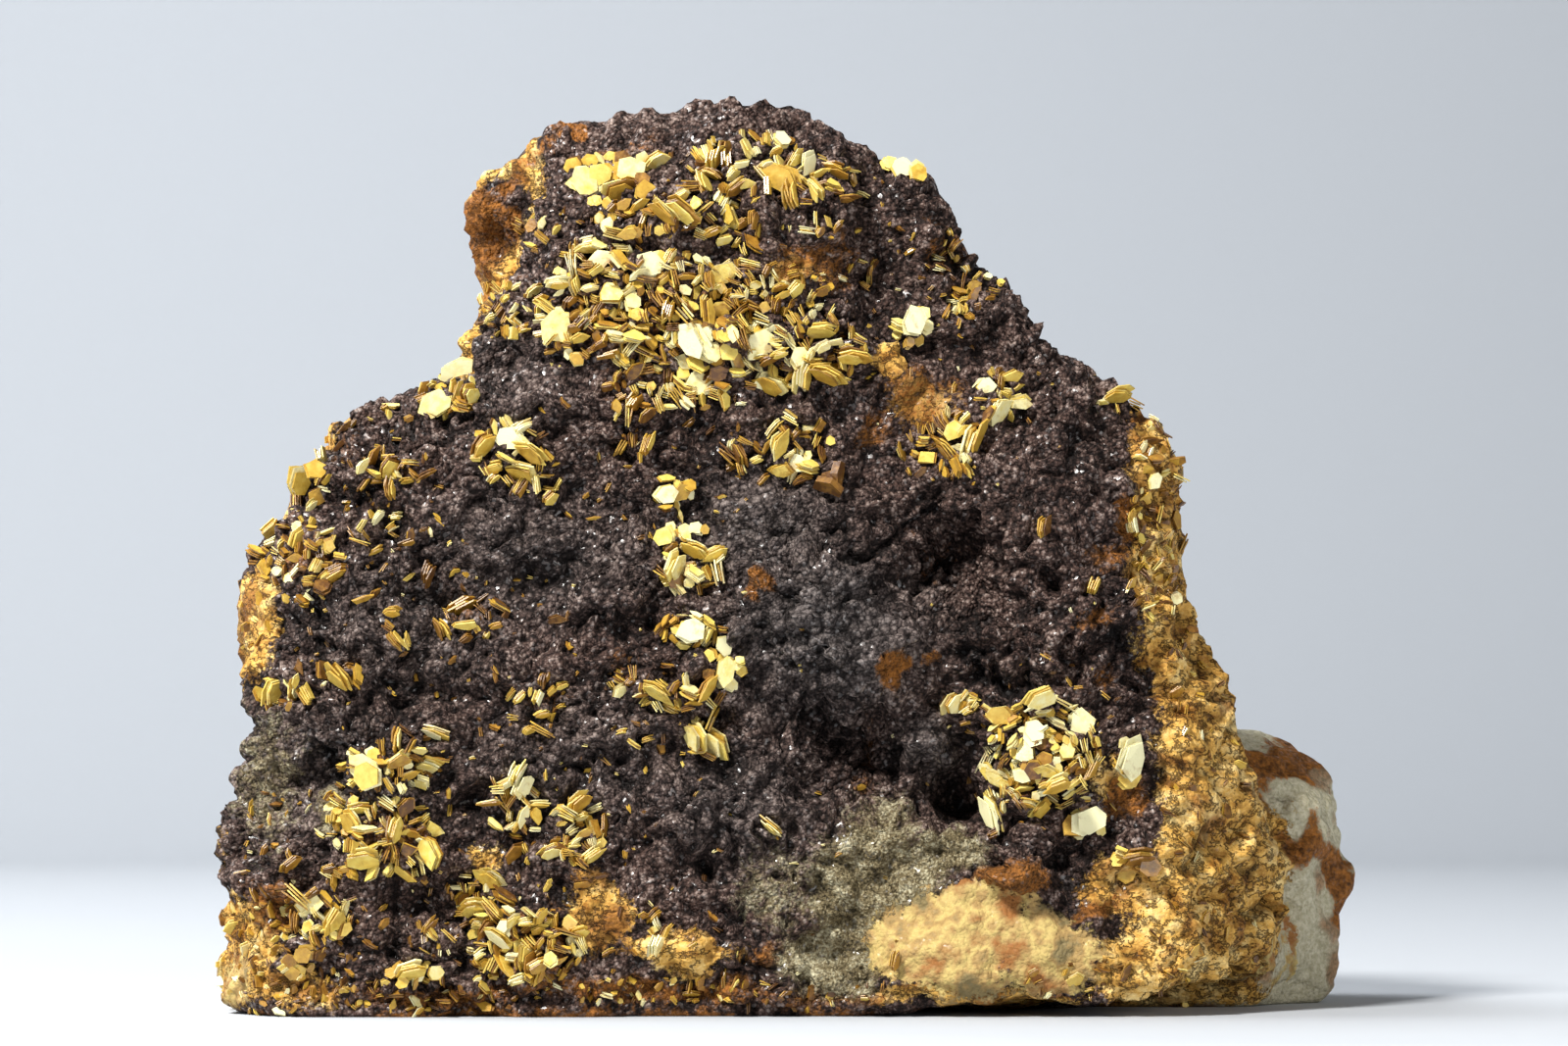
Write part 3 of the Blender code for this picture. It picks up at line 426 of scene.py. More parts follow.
PATCHES: dict[Zone, list[Patch]] = {
    # the pale block at the lower right, the lower left corner and the lobe's pale strip
    Zone.CREAM: [Patch(*row) for row in (
        (12.4, 6.6, 6.0, 3.8, 1.0, -6), (19.4, 6.4, 5.0, 3.4, 0.9, -14), (15.2, 9.4, 4.0, 2.2, 0.8, -10),
        (-43.4, 3.8, 1.5, 2.6, 0.6), (38.0, 6.2, 0.8, 2.6, 0.6, 8),
    )],
    # beside the pale block, and on the lower left edge
    Zone.SAND: [Patch(*row) for row in (
        (6.8, 10.8, 5.4, 5.6, 0.95, 34), (3.6, 5.6, 4.0, 3.6, 0.85), (12.4, 14.0, 3.4, 1.8, 0.85, 20),
        (8.0, 15.4, 3.2, 2.6, 0.6, 40), (-1.0, 11.0, 4.0, 4.2, 0.5), (-40.6, 19.6, 3.0, 6.0, 0.55),
        (-35.8, 17.0, 1.8, 2.0, 0.7),
    )],
    # the strip down the right edge, the left edge, the bottom lips, and patches near the crown
    Zone.OCHRE: [Patch(*row) for row in (
        (33.6, 7.0, 6.4, 9.0, 1.2), (33.4, 18.0, 4.4, 10.0, 1.2), (32.6, 28.0, 3.6, 6.0, 1.1),
        (29.8, 37.0, 3.0, 8.0, 1.0, 8), (29.6, 45.0, 2.4, 5.0, 0.9, 20), (26.4, 50.0, 1.8, 1.6, 0.7, 30),
        (27.2, 4.4, 3.4, 3.4), (25.6, 11.6, 3.2, 2.2, 0.8), (-14.8, 9.0, 2.8, 3.0, 0.95, 20),
        (-8.4, 6.0, 4.6, 1.6, 0.9, -4), (-23.4, 13.4, 1.6, 1.0, 0.55), (14.0, 2.6, 9.0, 1.0, 0.8),
        (-42.4, 31.6, 2.4, 5.4), (-43.0, 6.0, 3.0, 4.6, 0.85), (-39.0, 3.2, 5.0, 1.8, 0.7),
        (-44.2, 13.0, 0.9, 3.0, 0.5), (1.0, 58.8, 3.2, 1.5, 0.62), (10.2, 48.8, 3.0, 2.8, 0.62, -30),
        (7.6, 52.2, 1.5, 1.9, 0.9), (24.6, 19.6, 1.8, 2.4, 0.6),
    )],
    # the lump behind the upper left shoulder, the lobe, the bottom lip, and many small stains
    Zone.RUST: [Patch(*row) for row in (
        (-11.0, 3.0, 13.0, 1.2, 0.75), (4.0, 2.4, 6.0, 1.0, 0.7), (-1.4, 5.6, 2.6, 1.4, 0.65),
        (-43.0, 31.8, 2.6, 5.0, 0.66), (-16.0, 0.4, 30.0, 1.2, 0.9), (-40.4, 9.6, 2.6, 3.0, 0.75),
        (-26.6, 2.6, 8.0, 1.2, 0.7), (-23.6, 62.2, 3.0, 4.6, 1.1), (-19.6, 70.2, 1.8, 1.6),
        (-20.6, 66.4, 1.4, 2.6, 0.7), (-14.0, 69.4, 3.4, 1.8, 0.55), (2.0, 59.4, 4.4, 2.4, 0.68),
        (10.2, 49.4, 3.8, 3.6, 0.68, -30), (6.4, 46.4, 1.3, 1.7, 0.75), (14.0, 62.4, 2.0, 4.4, 0.55, 30),
        (8.4, 27.8, 1.3, 1.7, 1.2), (11.3, 28.6, 1.3, 0.9, 0.75), (-2.6, 34.5, 1.1, 0.9, 0.75),
        (26.2, 39.4, 1.4, 1.7), (25.2, 36.6, 2.4, 1.2, 0.65), (26.6, 48.2, 1.2, 1.6, 0.8),
        (24.0, 31.6, 1.8, 1.2, 0.65), (24.4, 27.2, 1.8, 1.6, 0.6), (26.0, 18.4, 1.6, 2.2, 0.85),
        (17.2, 11.8, 3.0, 1.6, 1.1, -6), (24.0, 9.8, 2.6, 1.0, 0.8, 20), (-13.0, 28.4, 1.6, 2.2, 0.5),
        (-18.6, 25.4, 2.4, 2.0, 0.45), (-24.6, 32.0, 2.4, 2.0, 0.5), (-37.6, 36.6, 3.4, 3.2, 0.55),
        (-36.0, 45.6, 4.0, 2.0, 0.55, 40), (-20.0, 6.4, 5.4, 4.2, 0.6), (-9.0, 54.6, 10.4, 6.6, 0.5),
        (-30.4, 14.6, 3.6, 3.2, 0.6), (-30.6, 20.6, 3.6, 2.2, 0.55), (19.6, 21.0, 4.0, 4.0, 0.5),
        (6.0, 20.0, 1.6, 4.4, 0.5), (11.0, 36.0, 4.4, 3.4, 0.42), (38.6, 20.4, 3.0, 2.2, 1.1, -48),
        (41.8, 12.0, 4.0, 1.7, 1.2, -48),
    )],
    # the broad middle
    Zone.BLUE: [Patch(*row) for row in (
        (2.6, 31.0, 7.4, 6.6), (-2.0, 39.0, 6.4, 4.6, 0.8), (-20.0, 37.0, 9.0, 5.0, 0.6),
        (-30.0, 32.0, 8.0, 6.0, 0.5), (-16.0, 21.0, 9.0, 5.0, 0.45), (-36.0, 20.0, 8.0, 5.0, 0.5),
        (-4.0, 18.0, 6.0, 5.0, 0.6), (-22.0, 50.0, 5.0, 4.0, 0.4), (10.6, 21.8, 2.4, 2.6, 0.8),
    )],
}


class Hollow(NamedTuple):
    """A small hollow (negative) or boss on the front: middle, reach across and up, and height."""

    x: float
    z: float
    across: float
    high: float
    height: float


HOLLOWS: list[Hollow] = [Hollow(*row) for row in (
    (39.0, 10.6, 0.8, 3.0, -1.2), (38.0, 15.4, 2.4, 0.5, -0.9), (17.4, 12.0, 2.4, 1.0, 0.9),
    (13.4, 35.6, 2.8, 2.2, 1.0), (13.4, 36.0, 2.2, 0.8, -1.2), (10.6, 33.2, 2.4, 0.9, -0.9),
    (9.4, 38.4, 1.8, 0.8, -1.2), (11.2, 34.9, 2.0, 0.6, 0.9), (14.6, 34.0, 1.0, 1.6, -1.0),
    (7.0, 37.0, 1.2, 1.2, -0.8), (13.1, 18.6, 1.5, 1.3, -0.9), (14.4, 16.6, 1.2, 1.2, -1.0),
    (5.8, 20.4, 2.4, 3.6, 1.5), (6.6, 22.2, 1.2, 1.4, -0.8), (3.2, 23.6, 4.4, 0.8, -1.5),
    (21.2, 13.4, 1.3, 1.5, -1.2), (-24.4, 17.6, 1.4, 1.0, -1.1), (-12.8, 12.8, 1.3, 1.0, -1.1),
    (-36.8, 19.8, 1.8, 1.0, -1.3), (-22.4, 60.5, 1.3, 1.5, -1.6), (-27.4, 33.6, 3.4, 0.7, -1.0),
    (-20.6, 35.0, 4.0, 0.6, -1.0), (-33.0, 28.6, 3.6, 0.6, -1.0), (-14.6, 31.4, 3.2, 0.6, -0.9),
    (5.8, 63.4, 0.9, 4.4, -1.4), (12.0, 53.0, 2.8, 0.8, -1.0), (16.8, 41.0, 1.0, 2.8, -1.0),
    (25.4, 24.6, 1.6, 0.8, -1.0), (3.0, 6.4, 1.3, 0.9, -0.9), (-29.4, 9.6, 3.8, 0.7, -1.0),
    (-17.8, 11.6, 1.2, 0.8, -0.8), (-5.6, 13.2, 3.4, 0.6, -0.8), (15.4, 27.6, 1.8, 0.7, -0.9),
    (9.6, 22.0, 2.0, 2.2, 1.1), (9.2, 31.0, 0.9, 0.9, 0.9), (11.0, 15.6, 1.0, 1.3, 0.7),
    (17.4, 12.0, 2.4, 0.9, 1.0), (-12.0, 41.0, 3.0, 0.7, -0.9), (-26.0, 46.0, 2.6, 0.8, -0.9),
    (-6.0, 21.0, 3.2, 0.7, -0.8), (20.0, 34.6, 2.8, 0.8, -0.9), (21.0, 45.6, 3.0, 0.7, -0.8),
    (16.4, 54.2, 2.2, 0.8, -0.8), (-28.0, 26.0, 4.0, 0.7, -0.9),
)]


@dataclass
class Rock:
    """The rock with its crust, grown over the CAD model's rock."""

    box: Sequence[Vector]  # the CAD model's, in metres
    voxel: float = 1.56  # halved once everywhere and once more in front
    front_depth: float = 6.0  # the finer mesh is nearer than this
    front_facing: float = -0.1  # and faces the viewer at least so far
    pull: float = 0.7  # how far the even mesh goes back to the CAD model's surface
    inset: float = 0.45  # the skin is drawn in by this before its knobs are raised
    knob_sizes: tuple[float, ...] = (3.4, 1.35)
    knob_heights: tuple[float, ...] = (0.75, 0.55)
    billow_size: float = 2.2  # irregular swellings with sharp creases between them
    billow_height: float = 2.9
    billow_range: tuple[float, float] = (0.42, 0.8)  # its mean, and where its tops are cut
    ledge_length: float = 9.0  # level ledges: their length, thickness and height
    ledge_thickness: float = 2.7
    ledge_height: float = 1.1
    layer_length: float = 3.4  # the broken schist's layers
    layer_thickness: float = 1.7
    chip_size: float = 2.3
    warp: tuple[float, float] = (5.0, 2.2)  # how the relief's patterns wander: size and reach
    hollow_warp: tuple[float, float] = (1.8, 1.1)
    rugged_size: float = 8.0  # the crust is rougher in some places than in others
    rugged_mean: float = 0.8
    rugged_swing: float = 0.5
    sand_calm: float = 0.35  # how much calmer it is where it is sandy, and on the crest
    crest_calm: float = 0.3
    crest_range: tuple[float, float] = (62.0, 68.0)
    fineness_least: float = 0.4  # the share of the fine relief that stays where it turns away
    fineness_facing: tuple[float, float] = (-0.1, 0.3)
    hollow_facing: tuple[float, float] = (0.1, 0.6)
    base_rim: tuple[float, float] = (0.05, 1.4)  # the relief sets in between these heights
    patch_softness: float = 0.7
    patch_limit: float = 6.0  # a patch shows no further out than this, in squared half sizes
    hollow_limit: float = 5.0
    outline_warps: tuple[tuple[float, float], ...] = ((3.0, 1.1), (0.9, 0.35))
    outline_layers: tuple[float, ...] = (3.0, 9.0)  # where each is cut from its pattern
    drift: tuple[tuple[float, float], ...] = ((6.0, 4.0), (2.0, 1.2))
    drift_depth: tuple[float, float] = (-18.0, -6.0)  # outlines drift more behind these depths
    patch_depth: tuple[float, float] = (-2.0, 9.0)  # patches end between these depths
    lobe_patches: tuple[float, float] = (35.0, 37.0)  # but not right of here
    mottle_size: float = 9.0
    mottle_swing: float = 0.9
    back_depth: tuple[float, float] = (3.0, 9.0)  # where the ochre back, right and left begin
    back_facing: tuple[float, float] = (-0.2, 0.3)
    right_reach: tuple[float, float] = (24.0, 30.0)
    right_facing: tuple[float, float] = (0.2, 0.6)
    left_depth: tuple[float, float] = (-13.0, -4.0)
    left_facing: tuple[float, float] = (0.45, 0.75)
    lobe_left: tuple[float, float] = (30.5, 33.5)  # the grey lobe's edges
    lobe_front: tuple[float, float] = (-8.0, -3.0)
    lobe_top: tuple[float, float] = (24.0, 28.0)
    deepest: float = 1.9  # the crevice depth at which the painted shade is darkest
    seed: float = 17.0

    def relax(self, bm: bmesh.types.BMesh) -> None:
        """Smooths the mesh once, except on the flat base."""
        upper = [corner for corner in bm.verts if corner.co.z > BASE_EDGE]
        bmesh.ops.smooth_vert(
            bm, verts=upper, factor=0.5, use_axis_x=True, use_axis_y=True, use_axis_z=True
        )

    def base_mesh(self, node: bpy.types.Object) -> bmesh.types.BMesh:
        """An even, smooth mesh over a merged copy of the CAD rock, finer in front.

        Args:
            node: the CAD rock.

        Returns:
            The mesh in millimetres.
        """
        bm = bmesh.new()
        bm.from_mesh(node.data)
        bmesh.ops.remove_doubles(bm, verts=bm.verts, dist=MERGE_DISTANCE)
        bmesh.ops.scale(bm, vec=(1 / METRES_PER_MM,) * 3, verts=bm.verts)
        model = BVHTree.FromBMesh(bm)
        work = new_object("rock_work", bm, keep_mm=True)
        remesh = work.modifiers.new("even", "REMESH")
        remesh.mode = "VOXEL"
        remesh.voxel_size = self.voxel
        bm = with_modifiers(work)
        self.relax(bm)
        bmesh.ops.subdivide_edges(bm, edges=bm.edges[:], cuts=1, use_grid_fill=True)
        for corner in bm.verts:
            corner.co = corner.co.lerp(model.find_nearest(corner.co)[0], self.pull)
        self.relax(bm)
        bm.normal_update()
        front = {
            edge
            for face in bm.faces
            if face.normal.y < self.front_facing and face.calc_center_median().y < self.front_depth
            for edge in face.edges
        }
        bmesh.ops.subdivide_edges(bm, edges=list(front), cuts=1, use_grid_fill=True)
        self.relax(bm)
        return bm

    def knobs(self, place: Vector, size: float) -> float:
        """Rounded grains of one size, 1 at a grain's top and 0 in the crevices."""
        wander = noise.noise_vector(place / (size * 1.4)) * size * 0.55
        distance = noise.voronoi((place + wander) / size)[0][0]
        return math.sqrt(max(0.0, 1.0 - min(1.0, distance * 1.3) ** 2))

    def zones_at(self, place: Vector, normal: Vector) -> dict[Zone, float]:
        """How strongly each zone shows at a place.

        Args:
            place: the place in millimetres.
            normal: the surface's direction there.

        Returns:
            Strengths from 0 to about 1.
        """
        x, z = seen_at(place)
        wander = Vector()
        for layer, warp in zip(self.outline_layers, self.outline_warps):
            wander += wandering(Vector((x, z, layer)), (warp,))
        # away from the front the outlines wander more, so that no patch runs straight round a side
        drift = wandering(place, self.drift)
        aside = smooth_step(place.y, *self.drift_depth)
        x += wander.x + drift.x * aside
        z += wander.y + drift.z * aside
        found = {zone: 0.0 for zone in Zone}
        in_front = 1.0 - smooth_step(place.y + drift.y, *self.patch_depth)
        in_front = max(in_front, smooth_step(place.x, *self.lobe_patches))
        for zone, patches in PATCHES.items():
            for patch in patches:
                turn = math.radians(patch.turn)
                along = (x - patch.x) * math.cos(turn) + (z - patch.z) * math.sin(turn)
                up = (z - patch.z) * math.cos(turn) - (x - patch.x) * math.sin(turn)
                reach = (along / patch.across) ** 2 + (up / patch.high) ** 2
                if reach < self.patch_limit:
                    share = math.exp(-(reach ** 1.5) * self.patch_softness)
                    found[zone] = max(found[zone], patch.strength * share * in_front)
        # the sides and the back, which no patch describes, are mostly ochre breaks
        mottle = 0.5 + noise.noise(place / self.mottle_size) * self.mottle_swing
        behind = smooth_step(place.y + drift.y * 1.6 + drift.x, *self.back_depth)
        behind *= smooth_step(normal.y, *self.back_facing)
        right = smooth_step(place.x, *self.right_reach) * smooth_step(normal.x, *self.right_facing)
        left = smooth_step(place.y + drift.y, *self.left_depth)
        left *= smooth_step(-normal.x, *self.left_facing)
        hidden = max(behind * (0.6 + mottle * 0.5), right, left * (0.5 + mottle * 0.6))
        found[Zone.OCHRE] = max(found[Zone.OCHRE], min(1.0, hidden))
        lobe = smooth_step(place.x + drift.x * 0.6, *self.lobe_left)
        lobe *= smooth_step(place.y + drift.y * 0.9, *self.lobe_front)
        lobe *= 1.0 - smooth_step(place.z + drift.z * 0.9, *self.lobe_top)
        found[Zone.SCHIST] = lobe
        return found

    def relief(self, place: Vector, normal: Vector, zones: dict[Zone, float]) -> tuple[float, float]:
        """The height of the fine relief, and how deep in a crevice a place lies.

        Args:
            place: the place in millimetres.
            normal: the surface's direction there.
            zones: the zones' strengths there.

        Returns:
            Height in millimetres and a share from 0, open, to 1, deep, which sets the painted shade in
            the crust's colour.
        """
        broken = max(zones[Zone.OCHRE], zones[Zone.SCHIST], zones[Zone.CREAM])
        turned = smooth_step(-normal.y, *self.fineness_facing)
        fineness = self.fineness_least + (1.0 - self.fineness_least) * turned
        warp = wandering(place, (self.warp,))
        height, depth = self.crust_relief(place, zones, broken, fineness, warp)
        if broken > 0.02:
            raised, sunk = self.break_relief(place, zones, broken, fineness, warp)
            height += raised
            depth += sunk
        facing = smooth_step(-normal.y, *self.hollow_facing)
        if facing > 0.0:
            x, z = seen_at(place)
            wander = wandering(Vector((x, z, 0.0)), (self.hollow_warp,))
            for form in HOLLOWS:
                reach = ((x + wander.x - form.x) / form.across) ** 2
                reach += ((z + wander.y - form.z) / form.high) ** 2
                if reach < self.hollow_limit:
                    share = math.exp(-reach) * facing
                    height += form.height * share
                    # a sunk hollow deepens the painted shade in it too
                    depth += max(0.0, -form.height) * share * 0.25
        return height, min(1.0, depth / self.deepest)

    def crust_relief(
        self, place: Vector, zones: dict[Zone, float], broken: float, fineness: float, warp: Vector,
    ) -> tuple[float, float]:
        """Knobs, swellings and level ledges of the crust.

        Args:
            place: the place in millimetres.
            zones: the zones' strengths there.
            broken: how far the place is broken rock without crust.
            fineness: how strong the finest knobs are, less where the viewer sees an outline.
            warp: an offset that makes the patterns wander.

        Returns:
            Height and crevice depth in millimetres.
        """
        smoothness = min(1.0, 0.8 * broken + 0.2 * zones[Zone.CREAM])
        rugged = 1.0 - smoothness
        rugged *= 1.0 - self.crest_calm * smooth_step(place.z, *self.crest_range)
        rugged *= self.rugged_mean + self.rugged_swing * noise.noise(place / self.rugged_size)
        rugged *= 1.0 - self.sand_calm * zones[Zone.SAND]
        height, depth = -self.inset, 0.0
        for size, rise in zip(self.knob_sizes, self.knob_heights):
            knob = self.knobs(place + Vector((self.seed, 0.0, size)), size)
            calm = fineness if size < 2.0 else 0.5 + 0.5 * fineness
            height += (smooth_step(knob, 0.0, 1.0) - 0.7) * rise * rugged * calm
            depth += (1.0 - knob) * rise * rugged
        billow = noise.turbulence((place + warp * 0.6) / self.billow_size, 4, True)
        mean, top = self.billow_range
        height += (min(billow, top) - mean) * self.billow_height * rugged * fineness
        depth += max(0.0, 0.4 - billow) * 3.0 * rugged
        level = (place.z + 0.2 * place.x + warp.z) / self.ledge_thickness
        bedded = Vector((place.x / self.ledge_length, place.y / self.ledge_length, level))
        ledge = min(abs(noise.noise(bedded)) * 2.0, 0.6)
        height += (ledge - 0.4) * self.ledge_height * rugged
        depth += (0.6 - ledge) * 0.5 * rugged
        return height, depth

    def break_relief(
        self, place: Vector, zones: dict[Zone, float], broken: float, fineness: float, warp: Vector,
    ) -> tuple[float, float]:
        """Layers and chips of the broken schist.

        Args:
            place: the place in millimetres.
            zones: the zones' strengths there.
            broken: how far the place is broken rock without crust.
            fineness: how strong the relief is, less where the viewer sees an outline.
            warp: an offset that makes the patterns wander.

        Returns:
            Height and crevice depth in millimetres.
        """
        level = (place.z + warp.z * 1.3) / self.layer_thickness
        layers = noise.noise(Vector((place.x / self.layer_length, place.y / self.layer_length, level)))
        chipped = Vector((place.x, place.y, place.z * 1.7)) / self.chip_size
        chips = noise.voronoi(chipped + warp * 0.25)[0]
        block = min(1.0, (chips[1] - chips[0]) * 3.0)
        left_break = smooth_step(-place.x, 38.0, 40.5) * smooth_step(place.z, 24.0, 27.5)
        rough = min(1.0, broken) - 0.6 * zones[Zone.CREAM] - 0.55 * zones[Zone.SCHIST]
        rough = max(0.0, rough) * (1.0 - 0.75 * left_break)
        tilt = noise.noise(place / 3.1 + warp) * 0.7
        height = (layers * 1.0 + block * 0.25 + tilt - 0.2) * rough * (0.5 + 0.5 * fineness)
        return height, (max(0.0, -layers) * 1.4 + (1.0 - block) * 0.8) * rough

    def build(self, node: bpy.types.Object) -> tuple[bpy.types.Object, BVHTree]:
        """Makes the rock.

        Args:
            node: the CAD rock.

        Returns:
            The piece, and its surface in millimetres for seating the tablets.
        """
        bm = self.base_mesh(node)
        bm.normal_update()
        stored = {zone: bm.verts.layers.float.new(zone.value) for zone in Zone}
        moves = []
        for corner in bm.verts:
            zones = self.zones_at(corner.co, corner.normal)
            height, depth = self.relief(corner.co, corner.normal, zones)
            # the crevice depth is kept for the painted shade in the crust's colour
            zones[Zone.CAVITY] = depth
            for zone, layer in stored.items():
                corner[layer] = zones[zone]
            moves.append(corner.normal * height * smooth_step(corner.co.z, *self.base_rim))
        for corner, move in zip(bm.verts, moves):
            corner.co += move
        keep_inside(bm, self.box)
        surface = BVHTree.FromBMesh(bm)
        for face in bm.faces:
            face.smooth = True
        made = new_object("crusted_rock", bm)
        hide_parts("rock")
        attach(made, "root")
        return made, surface


@dataclass(frozen=True)
class CrustFinish:
    """The rock's surface: purple-brown crust, grey-blue bloom, ochre schist, cream clay, rust, and
    painted shade in creases, crevices and cracks.
    """

    # crust_dark and bloom_dark are reached partly by random tone and partly by the painted shade of
    # creases and crevices
    crust_dark: Colour = linear(30, 20, 17)
    crust_mid: Colour = linear(82, 62, 55)
    crust_light: Colour = linear(164, 144, 134)
    bloom_dark: Colour = linear(40, 35, 34)
    bloom: Colour = linear(118, 112, 110)
    # painted shade in the ochre's cracks
    ochre_crack_shade: Colour = linear(60, 38, 16)
    ochre_dark: Colour = linear(146, 98, 36)
    ochre_mid: Colour = linear(222, 172, 86)
    ochre_light: Colour = linear(250, 218, 146)
    cream_orange: Colour = linear(150, 100, 54)
    cream_mid: Colour = linear(172, 140, 88)
    cream_light: Colour = linear(200, 176, 110)
    cream_grey: Colour = linear(134, 118, 80)
    sand_dark: Colour = linear(42, 34, 18)
    sand_mid: Colour = linear(122, 108, 78)
    sand_light: Colour = linear(206, 198, 166)
    rust_dark: Colour = linear(76, 46, 20)
    rust_light: Colour = linear(166, 106, 46)
    schist_dark: Colour = linear(168, 160, 130)
    schist_light: Colour = linear(210, 202, 176)
    roughness: float = 0.82

    def material(self) -> bpy.types.Material:
        """Builds the material.

        Returns:
            The rock's material.
        """
        n = Nodes("iron_oxide_crust")
        fine = n.noise(2.2, 4.0, 0.7, 1.0)
        broad = n.noise(0.16, 3.0, 0.5, 4.0)
        coarse_grain = n.grains(1.5)
        small_grain = n.grains(3.6)
        speck = n.add("ShaderNodeSeparateColor", {}, {0: small_grain.sibling("Color")})
        grain_tone = n.add("ShaderNodeSeparateColor", {}, {0: coarse_grain.sibling("Color")})
        # painted shade between grains: darker towards each grain's edge
        crease = coarse_grain * coarse_grain * 0.6 + small_grain * small_grain * 0.4
        cavity = n.attribute(Zone.CAVITY.value)
        foliated = n.noise(0.9, 4.0, 0.65, 9.0, (0.6, 0.6, 1.25))

        tone = fine * 0.45 + broad * 0.35 + (speck - 0.5) * 0.3 + (grain_tone - 0.5) * 0.16
        # the creases between grains and the crevices are darkened here as painted shade
        tone = tone + 0.1 - crease * 0.5 - cavity * 0.3
        crust = n.ramp(
            tone, [(0.14, self.crust_dark), (0.36, self.crust_mid), (0.62, self.crust_light)]
        )
        bloom = n.ramp(tone, [(0.14, self.bloom_dark), (0.62, self.bloom)])
        crust = n.mix(n.attribute("blue") * 0.8, crust, bloom)
        ochre = n.ramp(
            foliated * 0.75 + fine * 0.35 + (n.noise(0.35, 2.0, 0.5, 14.0) - 0.5) * 0.8,
            [(0.36, self.ochre_dark), (0.56, self.ochre_mid), (0.76, self.ochre_light)],
        )
        rust = n.mix((fine * 0.7 + foliated * 0.4).between(0.38, 0.72), self.rust_dark, self.rust_light)
        ochre = n.mix(n.noise(0.28, 3.0, 0.6, 12.0).between(0.5, 0.66) * 0.8, ochre, rust)
        # painted shade: dark lines along the cracks of the ochre schist
        seam = n.noise(0.6, 4.0, 0.7, 19.0, (0.9, 0.9, 1.2)) - 0.5
        crack = 1.0 - seam.magnitude().between(0.0, 0.04)
        ochre = n.mix(crack * 0.75, ochre, self.ochre_crack_shade)
        patchy = n.noise(0.5, 5.0, 0.65, 15.0)
        cream = n.ramp(
            (n.noise(0.26, 3.0, 0.6, 17.0) - 0.5) * 1.2 + 0.36 + patchy * 0.4,
            [
                (0.38, self.cream_orange), (0.47, self.cream_mid), (0.56, self.cream_light),
                (0.64, self.cream_mid), (0.74, self.cream_grey),
            ],
        )
        sandy = n.noise(4.2, 3.0, 0.7, 16.0)
        sand = n.ramp(
            sandy * 0.6 + patchy * 0.6,
            [(0.46, self.sand_dark), (0.6, self.sand_mid), (0.76, self.sand_light)],
        )
        schist = n.mix(fine.between(0.3, 0.7), self.schist_dark, self.schist_light)
        schist = n.mix(n.noise(0.13, 2.0, 0.5, 21.0).between(0.56, 0.62) * 0.7, schist, rust)

        wobble = (fine - 0.5) * 0.9 + (patchy - 0.5) * 0.7
        colour = crust
        masks = {}
        for name, over, low, high in (
            ("ochre", ochre, 0.36, 0.56),
            ("schist", schist, 0.4, 0.6),
            ("rust", rust, 0.42, 0.8),
            ("sand", sand, 0.3, 0.66),
            ("cream", cream, 0.36, 0.5),
        ):
            masks[name] = (n.attribute(name) + wobble).between(low, high)
            colour = n.mix(masks[name], colour, over)
        # painted shade in the crevices, laid over every zone's colour
        shadow = n.shade(1.0 - cavity.between(0.25, 1.0) * 0.75)
        colour = n.mix(1.0, colour, shadow, "MULTIPLY")

        softer = 1.0 - (masks["ochre"] + masks["cream"] + masks["schist"]).clamp() * 0.7
        layered = masks["ochre"] * (1.0 - masks["cream"]) * (1.0 - masks["schist"])
        grit = n.noise(3.4, 2.0, 0.5, 30.0)
        height = softer * (0.5 - coarse_grain * coarse_grain * 0.5 - small_grain * small_grain * 0.28)
        height = height + layered * (foliated * 0.2 - crack * 0.2) + grit * 0.09 + sandy * 0.03
        glint = speck.between(0.84, 0.9) * softer * 0.9
        return n.finish(
            {
                "Base Color": colour,
                "Roughness": self.roughness - speck * 0.2,
                "Coat Weight": glint,
                "Normal": n.bump(height, 1.0),
            },
            Specular_IOR_Level=0.2, Coat_Roughness=0.28,
        )


# The mica tablets


class Lie(Enum):
    """How the tablets of a patch stand on the rock."""

    SCATTERED = "scattered"  # every way, as in the dense field
    FLAT = "flat"  # mostly lying with the six-sided face outward
    EDGE = "edge"  # mostly standing, seen on edge
    DOME = "dome"  # tipped outward round a middle
    STAR = "star"  # standing, with the long sides pointing away from a middle
    SLIVER = "sliver"  # thin brown blades sunk in the crust
    SUNK = "sunk"  # wider plates of which only the edges come out of the schist


class Crop(NamedTuple):
    """A patch of tablets: middle and half sizes on the front, number, width range, and lie.

    pale is the share of pale, face-on tablets, and the rest are golden to brown.
    """

    x: float
    z: float
    across: float
    high: float
    number: int
    small: float
    large: float
    lie: Lie = Lie.SCATTERED
    pale: float = 0.35


